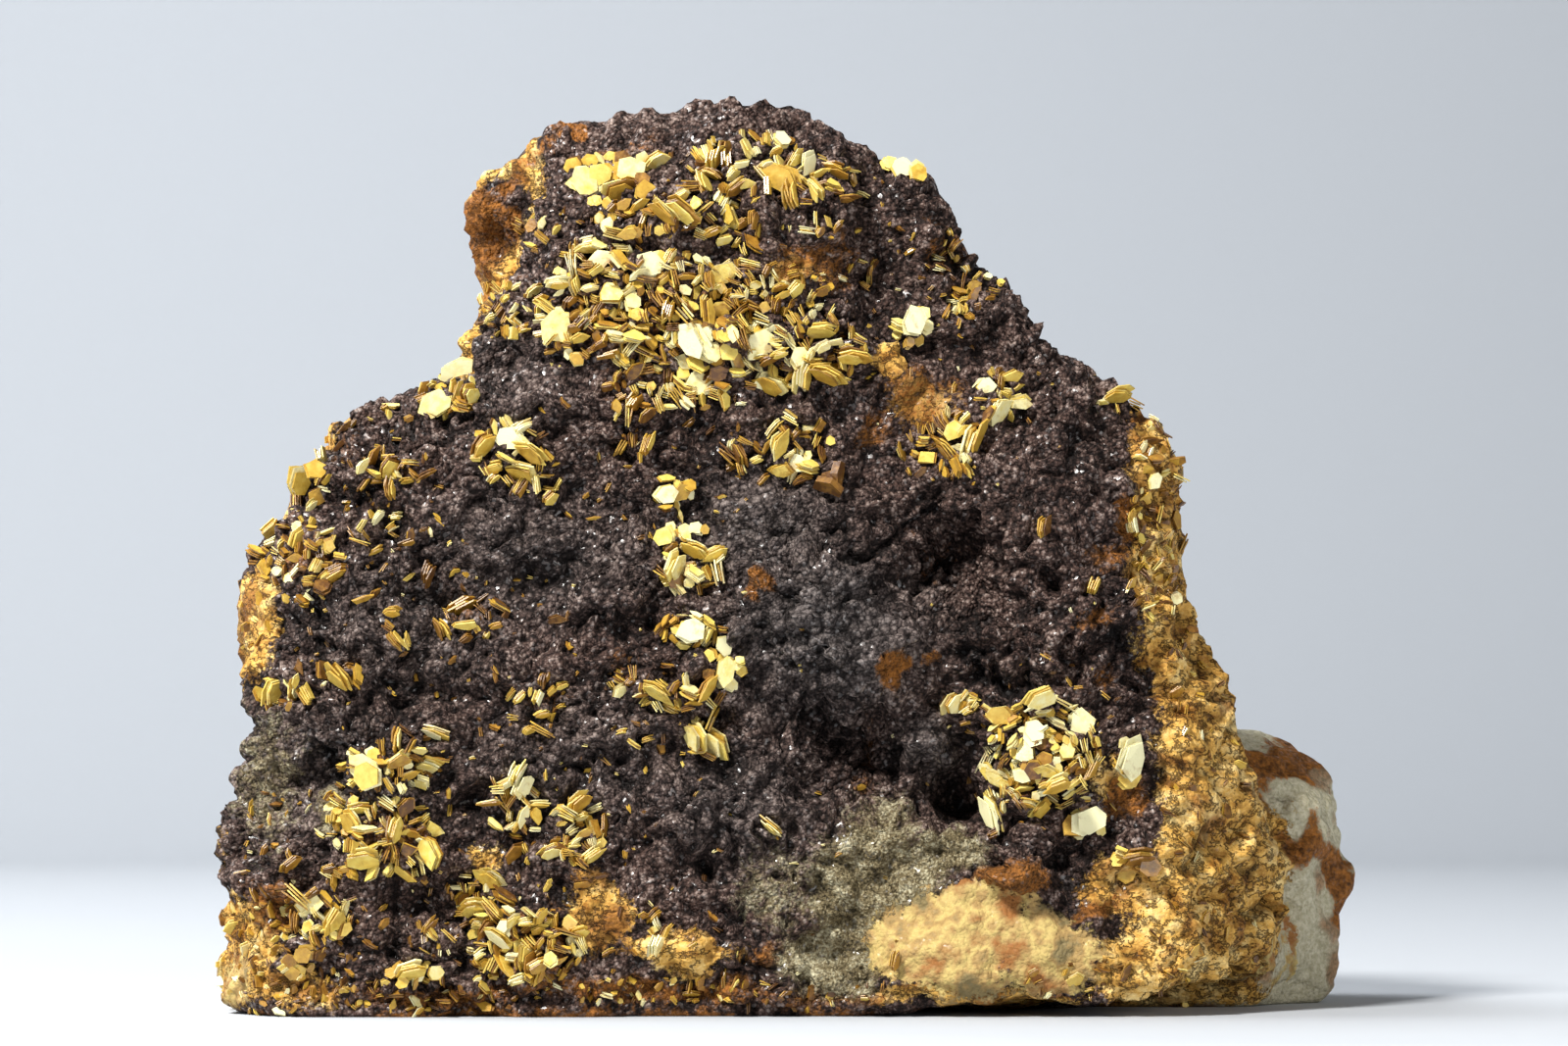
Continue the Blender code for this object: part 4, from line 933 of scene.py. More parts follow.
CROPS: list[Crop] = [Crop(*row) for row in (
    # crown
    (-13.8, 66.2, 3.4, 2.2, 15, 1.2, 2.8, Lie.FLAT, 0.6),
    (-5.5, 65.8, 2.2, 3.0, 14, 1.0, 2.4, Lie.STAR, 0.4),
    (-1.9, 68.8, 2.2, 0.9, 8, 1.0, 2.0, Lie.SCATTERED, 0.5),
    (0.6, 66.0, 3.0, 2.0, 15, 1.0, 2.5, Lie.SCATTERED, 0.4), (4.2, 65.4, 1.4, 1.6, 5, 0.9, 1.8),
    (8.9, 66.7, 1.3, 0.8, 3, 1.4, 2.2, Lie.FLAT, 0.9), (-11.8, 62.8, 3.2, 1.6, 14, 1.0, 2.4),
    (-7.8, 63.0, 2.2, 1.5, 10, 1.2, 3.0, Lie.EDGE, 0.4),
    (-4.0, 61.9, 2.0, 1.6, 9, 1.0, 2.4, Lie.EDGE, 0.3), (-19.8, 61.9, 1.8, 1.6, 7, 0.8, 1.6),
    (2.4, 62.3, 1.4, 0.9, 4, 0.9, 1.8),
    # the dense field
    (-14.6, 58.2, 3.6, 2.8, 36, 0.9, 2.4, Lie.SCATTERED, 0.45),
    (-9.0, 57.6, 3.6, 2.8, 36, 0.9, 2.4, Lie.SCATTERED, 0.45),
    (-3.6, 57.0, 3.4, 2.6, 32, 0.9, 2.4, Lie.SCATTERED, 0.45), (1.2, 56.4, 2.4, 2.4, 14, 0.8, 1.8),
    (-16.6, 54.4, 2.8, 2.6, 24, 0.9, 2.4, Lie.SCATTERED, 0.4),
    (-11.4, 53.4, 3.2, 2.8, 34, 0.9, 2.4, Lie.SCATTERED, 0.4),
    (-6.4, 52.8, 2.8, 3.2, 34, 1.2, 2.8, Lie.FLAT, 0.8),
    (-1.2, 52.0, 3.0, 2.8, 30, 1.0, 2.6, Lie.SCATTERED, 0.5), (-11.4, 49.4, 2.8, 2.0, 16, 0.9, 2.0),
    (-6.6, 49.4, 2.0, 1.4, 10, 0.9, 2.0, Lie.SCATTERED, 0.6),
    (3.6, 52.4, 2.4, 2.6, 22, 1.0, 2.6, Lie.EDGE, 0.4),
    (-21.6, 56.0, 2.8, 2.2, 26, 0.8, 1.9, Lie.EDGE, 0.3), (5.4, 58.6, 1.6, 1.2, 5, 0.7, 1.4),
    # right of the field
    (9.4, 54.4, 1.2, 1.4, 6, 1.0, 2.2, Lie.FLAT, 0.9),
    (13.3, 56.4, 1.5, 1.6, 11, 0.8, 1.8, Lie.STAR, 0.4), (12.8, 60.2, 1.6, 1.8, 7, 0.7, 1.5),
    (15.2, 57.6, 1.4, 1.2, 5, 0.7, 1.4), (16.3, 49.0, 1.6, 2.0, 12, 1.0, 2.4, Lie.STAR, 0.7),
    (12.6, 45.4, 2.2, 2.5, 24, 1.0, 2.6, Lie.STAR, 0.4),
    (9.6, 45.0, 1.0, 2.4, 6, 0.8, 1.8, Lie.EDGE, 0.3), (25.6, 48.8, 1.4, 0.8, 5, 0.8, 1.8, Lie.EDGE, 0.5),
    # middle
    (0.6, 45.2, 2.6, 2.8, 20, 0.9, 2.2, Lie.SCATTERED, 0.5),
    (-3.5, 44.6, 1.4, 1.4, 7, 1.0, 2.4, Lie.EDGE, 0.3),
    (-8.9, 42.0, 1.4, 1.4, 8, 0.9, 1.9, Lie.FLAT, 0.7),
    (-8.4, 38.6, 2.0, 1.2, 7, 0.9, 1.8, Lie.FLAT, 0.5),
    (-7.6, 35.9, 2.4, 2.0, 20, 1.0, 2.4, Lie.SCATTERED, 0.55),
    (-12.2, 45.0, 1.8, 1.0, 4, 1.0, 2.0, Lie.EDGE, 0.3),
    (-7.6, 31.0, 2.6, 1.4, 14, 1.0, 2.2, Lie.DOME, 0.6),
    (-5.0, 28.2, 1.4, 2.0, 10, 1.0, 2.2, Lie.FLAT, 0.7),
    (-8.6, 26.0, 3.4, 1.2, 16, 1.0, 2.6, Lie.EDGE, 0.4), (-12.6, 27.0, 1.4, 1.2, 6, 0.9, 1.8),
    (-6.5, 22.6, 1.5, 1.6, 8, 1.0, 3.0, Lie.EDGE, 0.5),
    # left
    (-21.6, 44.8, 2.8, 2.4, 26, 1.1, 2.6, Lie.SCATTERED, 0.6),
    (-19.4, 42.0, 1.6, 1.0, 6, 1.0, 2.0, Lie.EDGE, 0.4),
    (-26.6, 49.6, 2.4, 2.0, 16, 1.0, 2.6, Lie.SCATTERED, 0.5), (-30.6, 47.4, 1.4, 0.9, 4, 0.9, 1.8),
    (-31.0, 43.0, 3.0, 1.3, 13, 1.0, 2.2, Lie.EDGE, 0.3),
    (-37.4, 43.0, 1.6, 2.6, 15, 1.0, 2.6, Lie.SCATTERED, 0.5),
    (-31.4, 38.6, 2.2, 1.6, 9, 0.8, 1.8, Lie.EDGE, 0.2),
    (-38.0, 36.4, 3.4, 3.2, 46, 0.9, 2.2, Lie.SCATTERED, 0.2),
    (-24.4, 32.0, 2.4, 1.8, 12, 0.9, 2.0, Lie.EDGE, 0.15),
    (-30.4, 31.0, 1.0, 1.4, 4, 0.9, 1.8, Lie.EDGE, 0.2),
    (-34.8, 27.4, 1.3, 0.9, 4, 1.0, 2.6, Lie.EDGE, 0.1),
    (-39.2, 26.0, 1.9, 1.3, 11, 0.9, 2.0, Lie.SCATTERED, 0.4),
    (-19.0, 25.0, 3.0, 2.2, 14, 0.8, 1.9, Lie.EDGE, 0.15),
    (-31.0, 20.4, 3.4, 2.0, 28, 1.0, 2.6, Lie.STAR, 0.7),
    (-34.4, 16.4, 1.5, 2.6, 14, 0.9, 2.2, Lie.SCATTERED, 0.5),
    (-30.4, 14.8, 3.2, 3.0, 46, 1.0, 2.5, Lie.STAR, 0.5), (-34.6, 12.0, 1.4, 1.0, 7, 0.9, 1.8),
    (-39.0, 13.0, 0.8, 1.0, 2, 1.0, 2.0, Lie.EDGE, 0.5),
    (-36.5, 8.8, 2.6, 2.0, 24, 0.9, 2.2, Lie.SCATTERED, 0.5), (-38.0, 5.0, 1.2, 1.2, 6, 0.8, 1.8),
    (-29.2, 4.5, 2.0, 1.0, 8, 0.9, 2.2, Lie.FLAT, 0.3),
    (-28.0, 7.4, 1.2, 0.8, 4, 0.8, 1.6, Lie.EDGE, 0.1),
    # lower field
    (-21.4, 16.8, 2.2, 3.2, 22, 0.9, 2.2, Lie.EDGE, 0.4),
    (-16.4, 15.4, 2.4, 2.6, 28, 0.9, 2.2, Lie.SCATTERED, 0.5),
    (-23.8, 10.4, 2.2, 2.0, 16, 0.9, 2.4, Lie.SCATTERED, 0.5),
    (-20.4, 6.6, 4.6, 2.8, 56, 0.9, 2.3, Lie.SCATTERED, 0.5),
    (-12.0, 22.8, 1.2, 1.0, 4, 0.8, 1.6, Lie.EDGE, 0.2),
    (-10.6, 8.0, 1.2, 1.8, 4, 0.8, 1.8, Lie.EDGE, 0.6),
    # right
    (19.6, 21.4, 4.3, 4.3, 96, 0.9, 2.3, Lie.DOME, 0.6),
    (13.6, 25.3, 1.8, 0.8, 9, 0.9, 2.0, Lie.EDGE, 0.5),
    (15.8, 16.6, 0.9, 1.6, 6, 1.0, 3.2, Lie.EDGE, 0.7),
    (26.2, 20.8, 1.0, 1.8, 7, 1.2, 3.0, Lie.FLAT, 0.9),
    (23.0, 16.0, 1.4, 1.2, 8, 1.0, 2.4, Lie.FLAT, 0.9),
    (26.6, 13.0, 1.8, 1.0, 6, 1.2, 3.0, Lie.FLAT, 0.2),
    # the glassy edge and the ochre strip
    (28.8, 43.0, 1.8, 4.6, 34, 0.8, 2.2, Lie.SUNK, 0.3),
    (28.6, 35.6, 2.4, 3.8, 44, 0.8, 2.2, Lie.SUNK, 0.3),
    (28.6, 39.0, 2.2, 7.0, 16, 0.7, 1.6, Lie.SCATTERED, 0.4),
    (31.4, 27.0, 2.4, 5.0, 20, 0.7, 1.8, Lie.SUNK, 0.1),
    (32.6, 17.0, 3.4, 6.6, 22, 0.7, 1.8, Lie.SUNK, 0.1),
    (31.6, 7.0, 5.0, 5.0, 22, 0.7, 1.8, Lie.SUNK, 0.1),
    (-39.6, 6.0, 5.0, 5.0, 70, 0.7, 1.8, Lie.SUNK, 0.45),
    (-28.0, 2.8, 9.0, 1.4, 40, 0.7, 1.8, Lie.SUNK, 0.35),
    (-9.0, 3.0, 11.0, 1.2, 44, 0.6, 1.6, Lie.SUNK, 0.3),
    (4.0, 2.6, 6.0, 1.2, 12, 0.6, 1.5, Lie.SUNK, 0.3), (22.0, 3.6, 5.0, 1.6, 14, 0.6, 1.6, Lie.SUNK, 0.3),
    (-41.4, 30.4, 2.0, 3.6, 10, 0.7, 1.6, Lie.SUNK, 0.1),
    # thin brown blades sunk in the crust
    (-28.0, 30.0, 12.0, 9.0, 54, 0.4, 1.7, Lie.SLIVER, 0.06),
    (-30.0, 13.0, 13.0, 10.0, 76, 0.4, 1.7, Lie.SLIVER, 0.1),
    (-15.0, 22.0, 9.0, 9.0, 36, 0.4, 1.6, Lie.SLIVER, 0.06),
    (-11.0, 44.0, 12.0, 6.0, 36, 0.4, 1.6, Lie.SLIVER, 0.08),
    (-4.0, 60.0, 17.0, 9.0, 80, 0.4, 1.5, Lie.SLIVER, 0.15),
    (14.0, 48.0, 9.0, 7.0, 16, 0.4, 1.5, Lie.SLIVER, 0.15),
    (20.0, 22.0, 7.0, 7.0, 30, 0.4, 1.5, Lie.SLIVER, 0.15),
    (-34.0, 41.0, 7.0, 8.0, 40, 0.4, 1.6, Lie.SLIVER, 0.1),
    (-16.0, 8.0, 12.0, 6.0, 36, 0.4, 1.6, Lie.SLIVER, 0.1),
    (2.0, 12.0, 10.0, 8.0, 12, 0.4, 0.9, Lie.SLIVER, 0.2),
    # bright specks
    (-20.0, 30.0, 22.0, 24.0, 34, 0.25, 0.55, Lie.EDGE, 0.8),
    (14.0, 36.0, 15.0, 24.0, 16, 0.25, 0.5, Lie.EDGE, 0.8),
)]


class Single(NamedTuple):
    """One prominent tablet: place, width, run of its long side, tip out of the surface, tint."""

    x: float
    z: float
    width: float
    run: float
    tip: float
    tint: float


SINGLES: list[Single] = [Single(*row) for row in (
    (-15.8, 66.1, 3.1, 80, 14, 0.8), (-12.3, 66.5, 3.0, 20, 20, 0.8), (-13.1, 64.9, 3.2, 24, 48, 0.6),
    (-10.4, 67.1, 2.5, 28, 52, 0.6), (-5.8, 67.2, 2.4, 82, 60, 0.6), (-4.7, 67.1, 2.2, 96, 66, 0.5),
    (-6.6, 65.2, 2.5, 116, 48, 0.5), (-4.3, 65.0, 2.5, 42, 60, 0.5), (-0.6, 65.8, 3.2, -18, 34, 0.7),
    (1.9, 65.0, 2.5, -58, 66, 0.6), (-0.6, 68.8, 2.0, 130, 26, 0.95), (8.9, 66.7, 2.5, 10, 20, 0.9),
    (-9.6, 63.1, 3.0, -40, 56, 0.6), (-8.3, 63.4, 3.0, -34, 54, 0.55), (-4.7, 62.9, 2.6, -66, 40, 0.6),
    (-10.7, 59.2, 3.0, 20, 16, 0.85), (-14.6, 59.6, 2.0, 40, 16, 0.95), (-5.2, 58.5, 2.8, 10, 34, 0.95),
    (-18.0, 54.6, 3.4, 50, 16, 0.8), (-7.6, 53.6, 3.2, -50, 30, 1.0), (-6.2, 52.6, 2.8, 118, 34, 0.9),
    (-6.8, 50.1, 2.6, 14, 14, 1.0), (-2.3, 53.2, 3.0, 24, 24, 0.9), (0.8, 52.1, 2.2, 70, 26, 0.8),
    (-0.9, 49.9, 3.0, -22, 44, 0.7), (2.5, 54.0, 3.0, 8, 54, 0.6), (5.2, 52.1, 2.8, -10, 54, 0.5),
    (3.0, 50.5, 3.0, -30, 60, 0.6), (9.6, 54.7, 2.6, 60, 22, 1.0), (15.3, 49.8, 2.0, 10, 20, 0.9),
    (16.3, 47.9, 2.8, 56, 40, 0.85), (14.2, 45.3, 3.4, 70, 62, 0.7), (12.7, 46.3, 2.2, 20, 18, 0.8),
    (12.3, 44.7, 2.6, -50, 64, 0.4), (-0.8, 45.3, 2.5, 66, 42, 0.6), (0.7, 43.9, 2.0, 0, 16, 0.95),
    (-3.8, 44.5, 2.6, -66, 58, 0.3), (-9.3, 41.5, 2.2, 10, 14, 0.85), (-9.5, 38.3, 2.0, 10, 14, 0.6),
    (-7.3, 37.1, 2.6, -30, 50, 0.6), (-8.8, 35.9, 2.6, 68, 46, 0.7), (-5.9, 36.8, 2.3, 26, 48, 0.6),
    (-7.6, 30.9, 2.6, 20, 16, 1.0), (-5.1, 27.7, 2.6, 84, 22, 0.8), (-10.4, 26.2, 2.8, -34, 56, 0.6),
    (-7.3, 22.6, 3.4, -62, 50, 0.8), (-5.7, 22.1, 3.0, -46, 46, 0.7), (-21.8, 45.9, 2.5, 10, 12, 1.0),
    (-23.5, 45.2, 3.0, 52, 58, 0.3), (-20.2, 44.7, 2.8, -34, 52, 0.65), (-20.8, 43.2, 2.9, -20, 46, 0.75),
    (-27.4, 48.4, 2.9, 20, 18, 0.7), (-25.5, 50.8, 3.2, 26, 34, 0.8), (-37.8, 42.4, 2.9, 78, 48, 0.8),
    (-31.2, 43.2, 2.7, 44, 44, 0.3), (-28.0, 35.3, 2.2, 70, 58, 0.15), (-25.2, 32.7, 2.8, 30, 62, 0.42),
    (-26.8, 30.8, 2.4, -60, 60, 0.45), (-34.8, 27.3, 3.2, -44, 56, 0.55), (-39.7, 26.3, 2.5, 60, 46, 0.6),
    (-32.6, 19.8, 3.6, -42, 26, 0.8), (-27.9, 20.5, 2.5, -10, 52, 0.9), (-27.4, 22.9, 2.4, -20, 60, 0.9),
    (-30.6, 15.4, 2.4, 80, 52, 0.55), (-27.9, 13.7, 2.9, -70, 40, 0.6), (-33.0, 13.2, 3.2, 14, 44, 0.7),
    (-33.8, 16.0, 2.8, -46, 42, 0.8), (-37.1, 9.7, 2.4, 0, 20, 0.8), (-35.2, 8.4, 2.5, 60, 40, 0.6),
    (-29.3, 4.6, 2.8, 20, 52, 0.6), (-20.7, 18.6, 2.5, 70, 40, 0.8), (-16.2, 17.6, 2.4, 44, 48, 0.6),
    (-24.5, 9.4, 2.8, 8, 54, 0.6), (-22.5, 7.2, 2.4, -30, 50, 0.75), (-20.2, 5.9, 2.6, 80, 44, 0.6),
    (-22.9, 11.6, 2.5, -30, 44, 0.7), (16.4, 24.3, 2.8, 10, 28, 0.8), (18.9, 23.1, 2.4, 80, 16, 0.95),
    (22.5, 23.5, 3.1, 80, 18, 1.0), (19.4, 25.5, 2.8, 20, 44, 0.7), (20.9, 19.2, 2.6, 24, 46, 0.6),
    (15.8, 16.4, 3.6, -60, 46, 0.95), (26.4, 20.9, 3.4, 72, 34, 1.0), (23.2, 15.9, 2.8, 20, 14, 1.0),
    (26.8, 13.4, 3.2, 12, 56, 0.35), (12.7, 25.2, 2.4, 60, 44, 0.7), (25.4, 48.9, 2.8, 10, 62, 0.7),
    (3.5, 66.5, 2.4, -20, 66, 0.3), (-1.2, 15.5, 2.4, -40, 66, 0.7), (-10.3, 6.5, 2.2, 70, 60, 0.95),
    (-10.5, 8.8, 1.8, 50, 60, 0.2), (8.2, 5.4, 1.6, 80, 50, 0.2), (29.8, 33.4, 1.5, 30, 20, 1.0),
    (28.2, 42.5, 1.6, 70, 20, 0.9), (19.7, 38.8, 2.2, 84, 50, 0.3), (23.6, 34.4, 1.8, 70, 60, 0.4),
)]


@dataclass(frozen=True)
class Form:
    """One tablet's shape and attitude, in millimetres and degrees."""

    width: float
    run: float  # the angle of its long side to +X
    tip: float  # its tilt out of the surface: 0 lies flat, 90 stands on edge
    tint: float  # 0 for rusty brown, 0.5 for gold, 1 for pale cream
    sheets: int = 3
    length: float = 1.15  # its long side over its width
    breadth: float = 0.85  # its short side over its width
    spread: float = 0.0  # how far its sheets open like a fan
    ragged: float = 0.12  # how irregular its outline is
    corners: int = 6


@dataclass
class Tablets:
    """All the mica tablets, seated on the rock and gathered in the CAD model's groups."""

    surface: BVHTree
    box: Sequence[Vector]
    pitch: float = 0.085  # the step between sheets, and what it grows by with the width
    pitch_growth: float = 0.045
    lamina_share: float = 0.6  # a sheet's thickness over that step
    seed: int = 4242
    join_reach: float = 2.6  # a tablet this near a CAD group's box belongs to it
    crowding: float = 0.25  # the least distance of two tablets, over the sum of their widths
    tries: int = 10  # places tried for each tablet that is wanted
    flat_tip: float = 35.0  # a tablet tipped less than this shows its six-sided face
    tip_range: tuple[float, float] = (4.0, 88.0)
    dense_height: float = 48.0  # scattered patches above this, stars and domes are sown denser
    density: float = 1.3
    upper_height: float = 46.0  # loose tablets above this are one piece
    left_side: float = -14.0  # and the others are split here
    rust_chance: float = 0.25  # the share of sheets that are rustier than their tablet
    rust_tint: float = 0.3

    def __post_init__(self) -> None:
        """Starts the random numbers and the pieces."""
        self.random = random.Random(self.seed)
        self.pieces: dict[str, bmesh.types.BMesh] = {}
        self.groups: dict[str, tuple[Vector, Vector]] = {}
        self.placed: list[tuple[float, float, float]] = []

    def piece(self, name: str) -> bmesh.types.BMesh:
        """The mesh of one piece, made when it is first needed."""
        if name not in self.pieces:
            bm = bmesh.new()
            bm.faces.layers.float.new("tint")
            bm.faces.layers.float.new("rim")
            self.pieces[name] = bm
        return self.pieces[name]

    def seat(self, x: float, z: float) -> tuple[Vector, Vector] | None:
        """The rock's point and outward direction at a place of the front.

        Args:
            x: the place's x as seen.
            z: its height as seen.

        Returns:
            Point and direction, or None where the rock isn't seen.
        """
        ahead = (Vector((x, 0.0, z)) - EYE_IN_PLANE).normalized()
        hit, normal, _, _ = self.surface.ray_cast(EYE, ahead)
        if hit is None:
            return None
        return hit, (normal * 0.4 + TOWARDS_VIEWER).normalized()

    def owner(self, place: Vector) -> str:
        """The name of the piece that a tablet belongs to.

        Args:
            place: the tablet's middle in millimetres.

        Returns:
            The CAD group's name, or the name of a piece of loose tablets.
        """
        best, nearest = "", self.join_reach
        for name, (low, high) in self.groups.items():
            gap = Vector(max(low[a] - place[a], 0.0, place[a] - high[a]) for a in range(3))
            if gap.length < nearest:
                best, nearest = name, gap.length
        if best:
            return best
        if place.z > self.upper_height:
            return "upper_loose_tablets"
        return "left_loose_tablets" if place.x < self.left_side else "right_loose_tablets"

    def add(self, middle: Vector, outward: Vector, form: Form) -> None:
        """Adds one tablet, sheet by sheet.

        Args:
            middle: its middle in millimetres.
            outward: the rock's outward direction.
            form: its shape and attitude.
        """
        rng = self.random
        bm = self.piece(self.owner(middle))
        angle = math.radians(form.run)
        along = Vector((math.cos(angle), 0.0, math.sin(angle)))
        along = (along - outward * along.dot(outward)).normalized()
        turn = Matrix((along, outward.cross(along), outward)).transposed().to_4x4()
        turn = turn @ Matrix.Rotation(math.radians(form.tip), 4, "X")
        place = Matrix.Translation(middle) @ turn
        step = 2 * math.pi / form.corners
        start = 0.5 * step if form.corners == 4 else 0.0
        outline = []
        for index in range(form.corners):
            turned = start + index * step + rng.gauss(0.0, 0.5) * form.ragged
            outline.append((turned, rng.uniform(1.0 - form.ragged, 1.06)))
        bend = rng.uniform(-0.14, 0.2) * form.width
        pitch = (self.pitch + self.pitch_growth * form.width) * rng.uniform(0.8, 1.2)
        for number in range(form.sheets):
            self.add_sheet(bm, place, form, number, outline, (bend, pitch))

    def add_sheet(
        self, bm: bmesh.types.BMesh, place: Matrix, form: Form, number: int,
        outline: Sequence[tuple[float, float]], build: tuple[float, float],
    ) -> None:
        """Adds one sheet of a tablet.

        Args:
            bm: the piece's mesh.
            place: the tablet's place and attitude.
            form: the tablet's shape.
            number: the sheet's number from below.
            outline: the angle and the reach, about 1, of each of the tablet's corners.
            build: how much its ends curve up, and the step from sheet to sheet.
        """
        rng = self.random
        bend, pitch = build
        lift = number - (form.sheets - 1) / 2
        made = bmesh.ops.create_cone(
            bm, cap_ends=True, segments=form.corners, radius1=0.5, radius2=0.5,
            depth=pitch * self.lamina_share,
        )["verts"]
        slide = Vector((rng.gauss(0, 0.07), rng.gauss(0, 0.03))) * form.width
        shrink = rng.uniform(1.0 - 0.9 * form.ragged, 1.03)
        wear = [rng.uniform(1.0 - form.ragged * 0.5, 1.03) for _ in range(form.corners)]
        tilt = rng.gauss(0.0, 0.05)
        step = 2 * math.pi / form.corners
        for corner in made:
            index = -round(math.atan2(corner.co.x, corner.co.y) / step) % form.corners
            angle, reach = outline[index]
            share = math.cos(angle) * reach * wear[index] * shrink / 2
            side = math.sin(angle) * reach / 2
            x = share * form.width * form.length + slide.x
            y = side * form.width * form.breadth + slide.y
            opened = form.spread * (share + 0.5) ** 2
            z = corner.co.z + lift * (pitch + opened) + bend * share * share + x * tilt
            corner.co = Vector((x, y, z))
        tint = form.tint + rng.gauss(0.0, 0.1)
        tint -= self.rust_tint if rng.random() < self.rust_chance else 0.0
        rust = rng.random() ** 2
        tint_layer = bm.faces.layers.float["tint"]
        rim_layer = bm.faces.layers.float["rim"]
        for face in {face for corner in made for face in corner.link_faces}:
            face.normal_update()
            face[tint_layer] = min(1.0, max(0.0, tint))
            face[rim_layer] = 0.0 if abs(face.normal.z) > 0.7 else 0.15 + 0.85 * rust
        bmesh.ops.transform(bm, matrix=place, verts=made)

    def single(self, given: Single) -> None:
        """Seats one tablet from the table."""
        found = self.seat(given.x, given.z)
        if found is None:
            return
        hit, outward = found
        lean = math.sin(math.radians(given.tip))
        sheets = 3 if given.tip < 30 else 4
        tip = given.tip if given.tip < 38 else min(84.0, given.tip * 1.3)
        form = Form(
            given.width * 0.95, given.run, tip, given.tint, sheets,
            length=1.04 + 0.2 * lean, breadth=0.95 - 0.35 * lean, spread=0.08 * lean,
            ragged=0.2 + 0.14 * lean, corners=6,
        )
        self.add(hit + outward * (0.22 + 0.3 * given.width * lean), outward, form)
        self.placed.append((given.x, given.z, given.width * 0.8))

    def form_for(self, crop: Crop, x: float, z: float) -> Form:
        """A tablet of a patch.

        Args:
            crop: the patch.
            x: the tablet's x.
            z: the tablet's height.

        Returns:
            Its shape and attitude.
        """
        rng = self.random
        width = crop.small + (crop.large - crop.small) * rng.random() ** 1.7
        pale = rng.random() < crop.pale * 0.7
        tint = rng.uniform(0.68, 0.95) if pale else rng.uniform(0.15, 0.62)
        around = math.degrees(math.atan2(z - crop.z, x - crop.x))
        reach = math.hypot((x - crop.x) / crop.across, (z - crop.z) / crop.high)
        run, tip = rng.uniform(0, 180), rng.gauss(62, 22)
        if crop.lie in (Lie.SLIVER, Lie.SUNK):
            tint = tint if tint > 0.7 else rng.uniform(0.02, 0.45)
            breadth = rng.uniform(0.3, 0.6) if crop.lie is Lie.SLIVER else rng.uniform(0.6, 0.9)
            return Form(
                width, run, rng.uniform(35, 88), tint, sheets=2, length=1.3, breadth=breadth,
                spread=0.06, ragged=0.4, corners=5,
            )
        if crop.lie is Lie.FLAT:
            tip = abs(rng.gauss(16, 16))
        elif crop.lie is Lie.EDGE:
            tip = rng.gauss(70, 12)
        elif crop.lie is Lie.STAR:
            run, tip = around + rng.gauss(0, 22), rng.gauss(62, 16)
        elif crop.lie is Lie.DOME:
            run, tip = around + 90.0 + rng.gauss(0, 30), 14.0 + 55.0 * reach + rng.gauss(0, 16)
        tip = min(self.tip_range[1], max(self.tip_range[0], tip))
        lean = math.sin(math.radians(tip))
        lying = tip < self.flat_tip
        most = 4 if width < 1.4 else 5
        sheets = 2 if width < 0.7 else rng.choice((2, 3)) if lying else rng.randint(2, most)
        if lying:
            return Form(
                width, run, tip, tint, sheets, length=rng.uniform(1.0, 1.15),
                breadth=rng.uniform(0.8, 1.0), ragged=0.24,
            )
        return Form(
            width, run, tip, tint, sheets, length=rng.uniform(1.15, 1.9 - 0.2 * width),
            breadth=rng.uniform(0.45, 0.8), spread=rng.uniform(0.0, 0.12) * lean,
            ragged=0.34, corners=rng.choice((4, 5, 6, 6)),
        )

    def sow(self, crop: Crop) -> None:
        """Sows one patch of tablets, none where another stands.

        Args:
            crop: the patch.
        """
        rng = self.random
        sown = 0
        dense = crop.lie is Lie.SCATTERED and crop.z > self.dense_height
        dense = dense or crop.lie in (Lie.STAR, Lie.DOME)
        wanted = round(crop.number * (self.density if dense else 1.0))
        for _ in range(wanted * self.tries):
            if sown >= wanted:
                break
            angle, reach = rng.uniform(0, 2 * math.pi), math.sqrt(rng.random())
            x = crop.x + math.cos(angle) * reach * crop.across
            z = crop.z + math.sin(angle) * reach * crop.high
            form = self.form_for(crop, x, z)
            if any(
                math.hypot(x - other[0], z - other[1]) < self.crowding * (form.width + other[2])
                for other in self.placed
            ):
                continue
            found = self.seat(x, z)
            if found is None:
                continue
            hit, outward = found
            lean = math.sin(math.radians(form.tip))
            rise = 0.36 * form.width * form.breadth * lean
            if crop.lie in (Lie.SLIVER, Lie.SUNK):
                rise *= rng.uniform(0.0, 0.8)
            else:
                rise += rng.uniform(0.06, 0.36)
            self.add(hit + outward * rise, outward, form)
            self.placed.append((x, z, form.width))
            sown += 1

    def build(self, nodes: dict[str, bpy.types.Object]) -> list[bpy.types.Object]:
        """Makes every tablet.

        Args:
            nodes: the CAD nodes by name.

        Returns:
            The finished pieces.
        """
        for name in nodes:
            if name != "rock":
                low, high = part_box(name)
                self.groups[name] = (Vector(low) / METRES_PER_MM, Vector(high) / METRES_PER_MM)
        for given in SINGLES:
            self.single(given)
        for crop in CROPS:
            self.sow(crop)
        made = []
        for name, bm in self.pieces.items():
            bmesh.ops.recalc_face_normals(bm, faces=bm.faces)
            keep_inside(bm, self.box)
            if name in self.groups:
                piece = new_object(f"{name}_mica", bm)
                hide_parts(name)
            else:
                piece = new_object(name, bm)
            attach(piece, "root")
            made.append(piece)
        missing = [name for name in self.groups if name not in self.pieces]
        LOG.info("%d tablets in %d pieces, groups without any: %s", len(self.placed), len(made), missing)
        return made


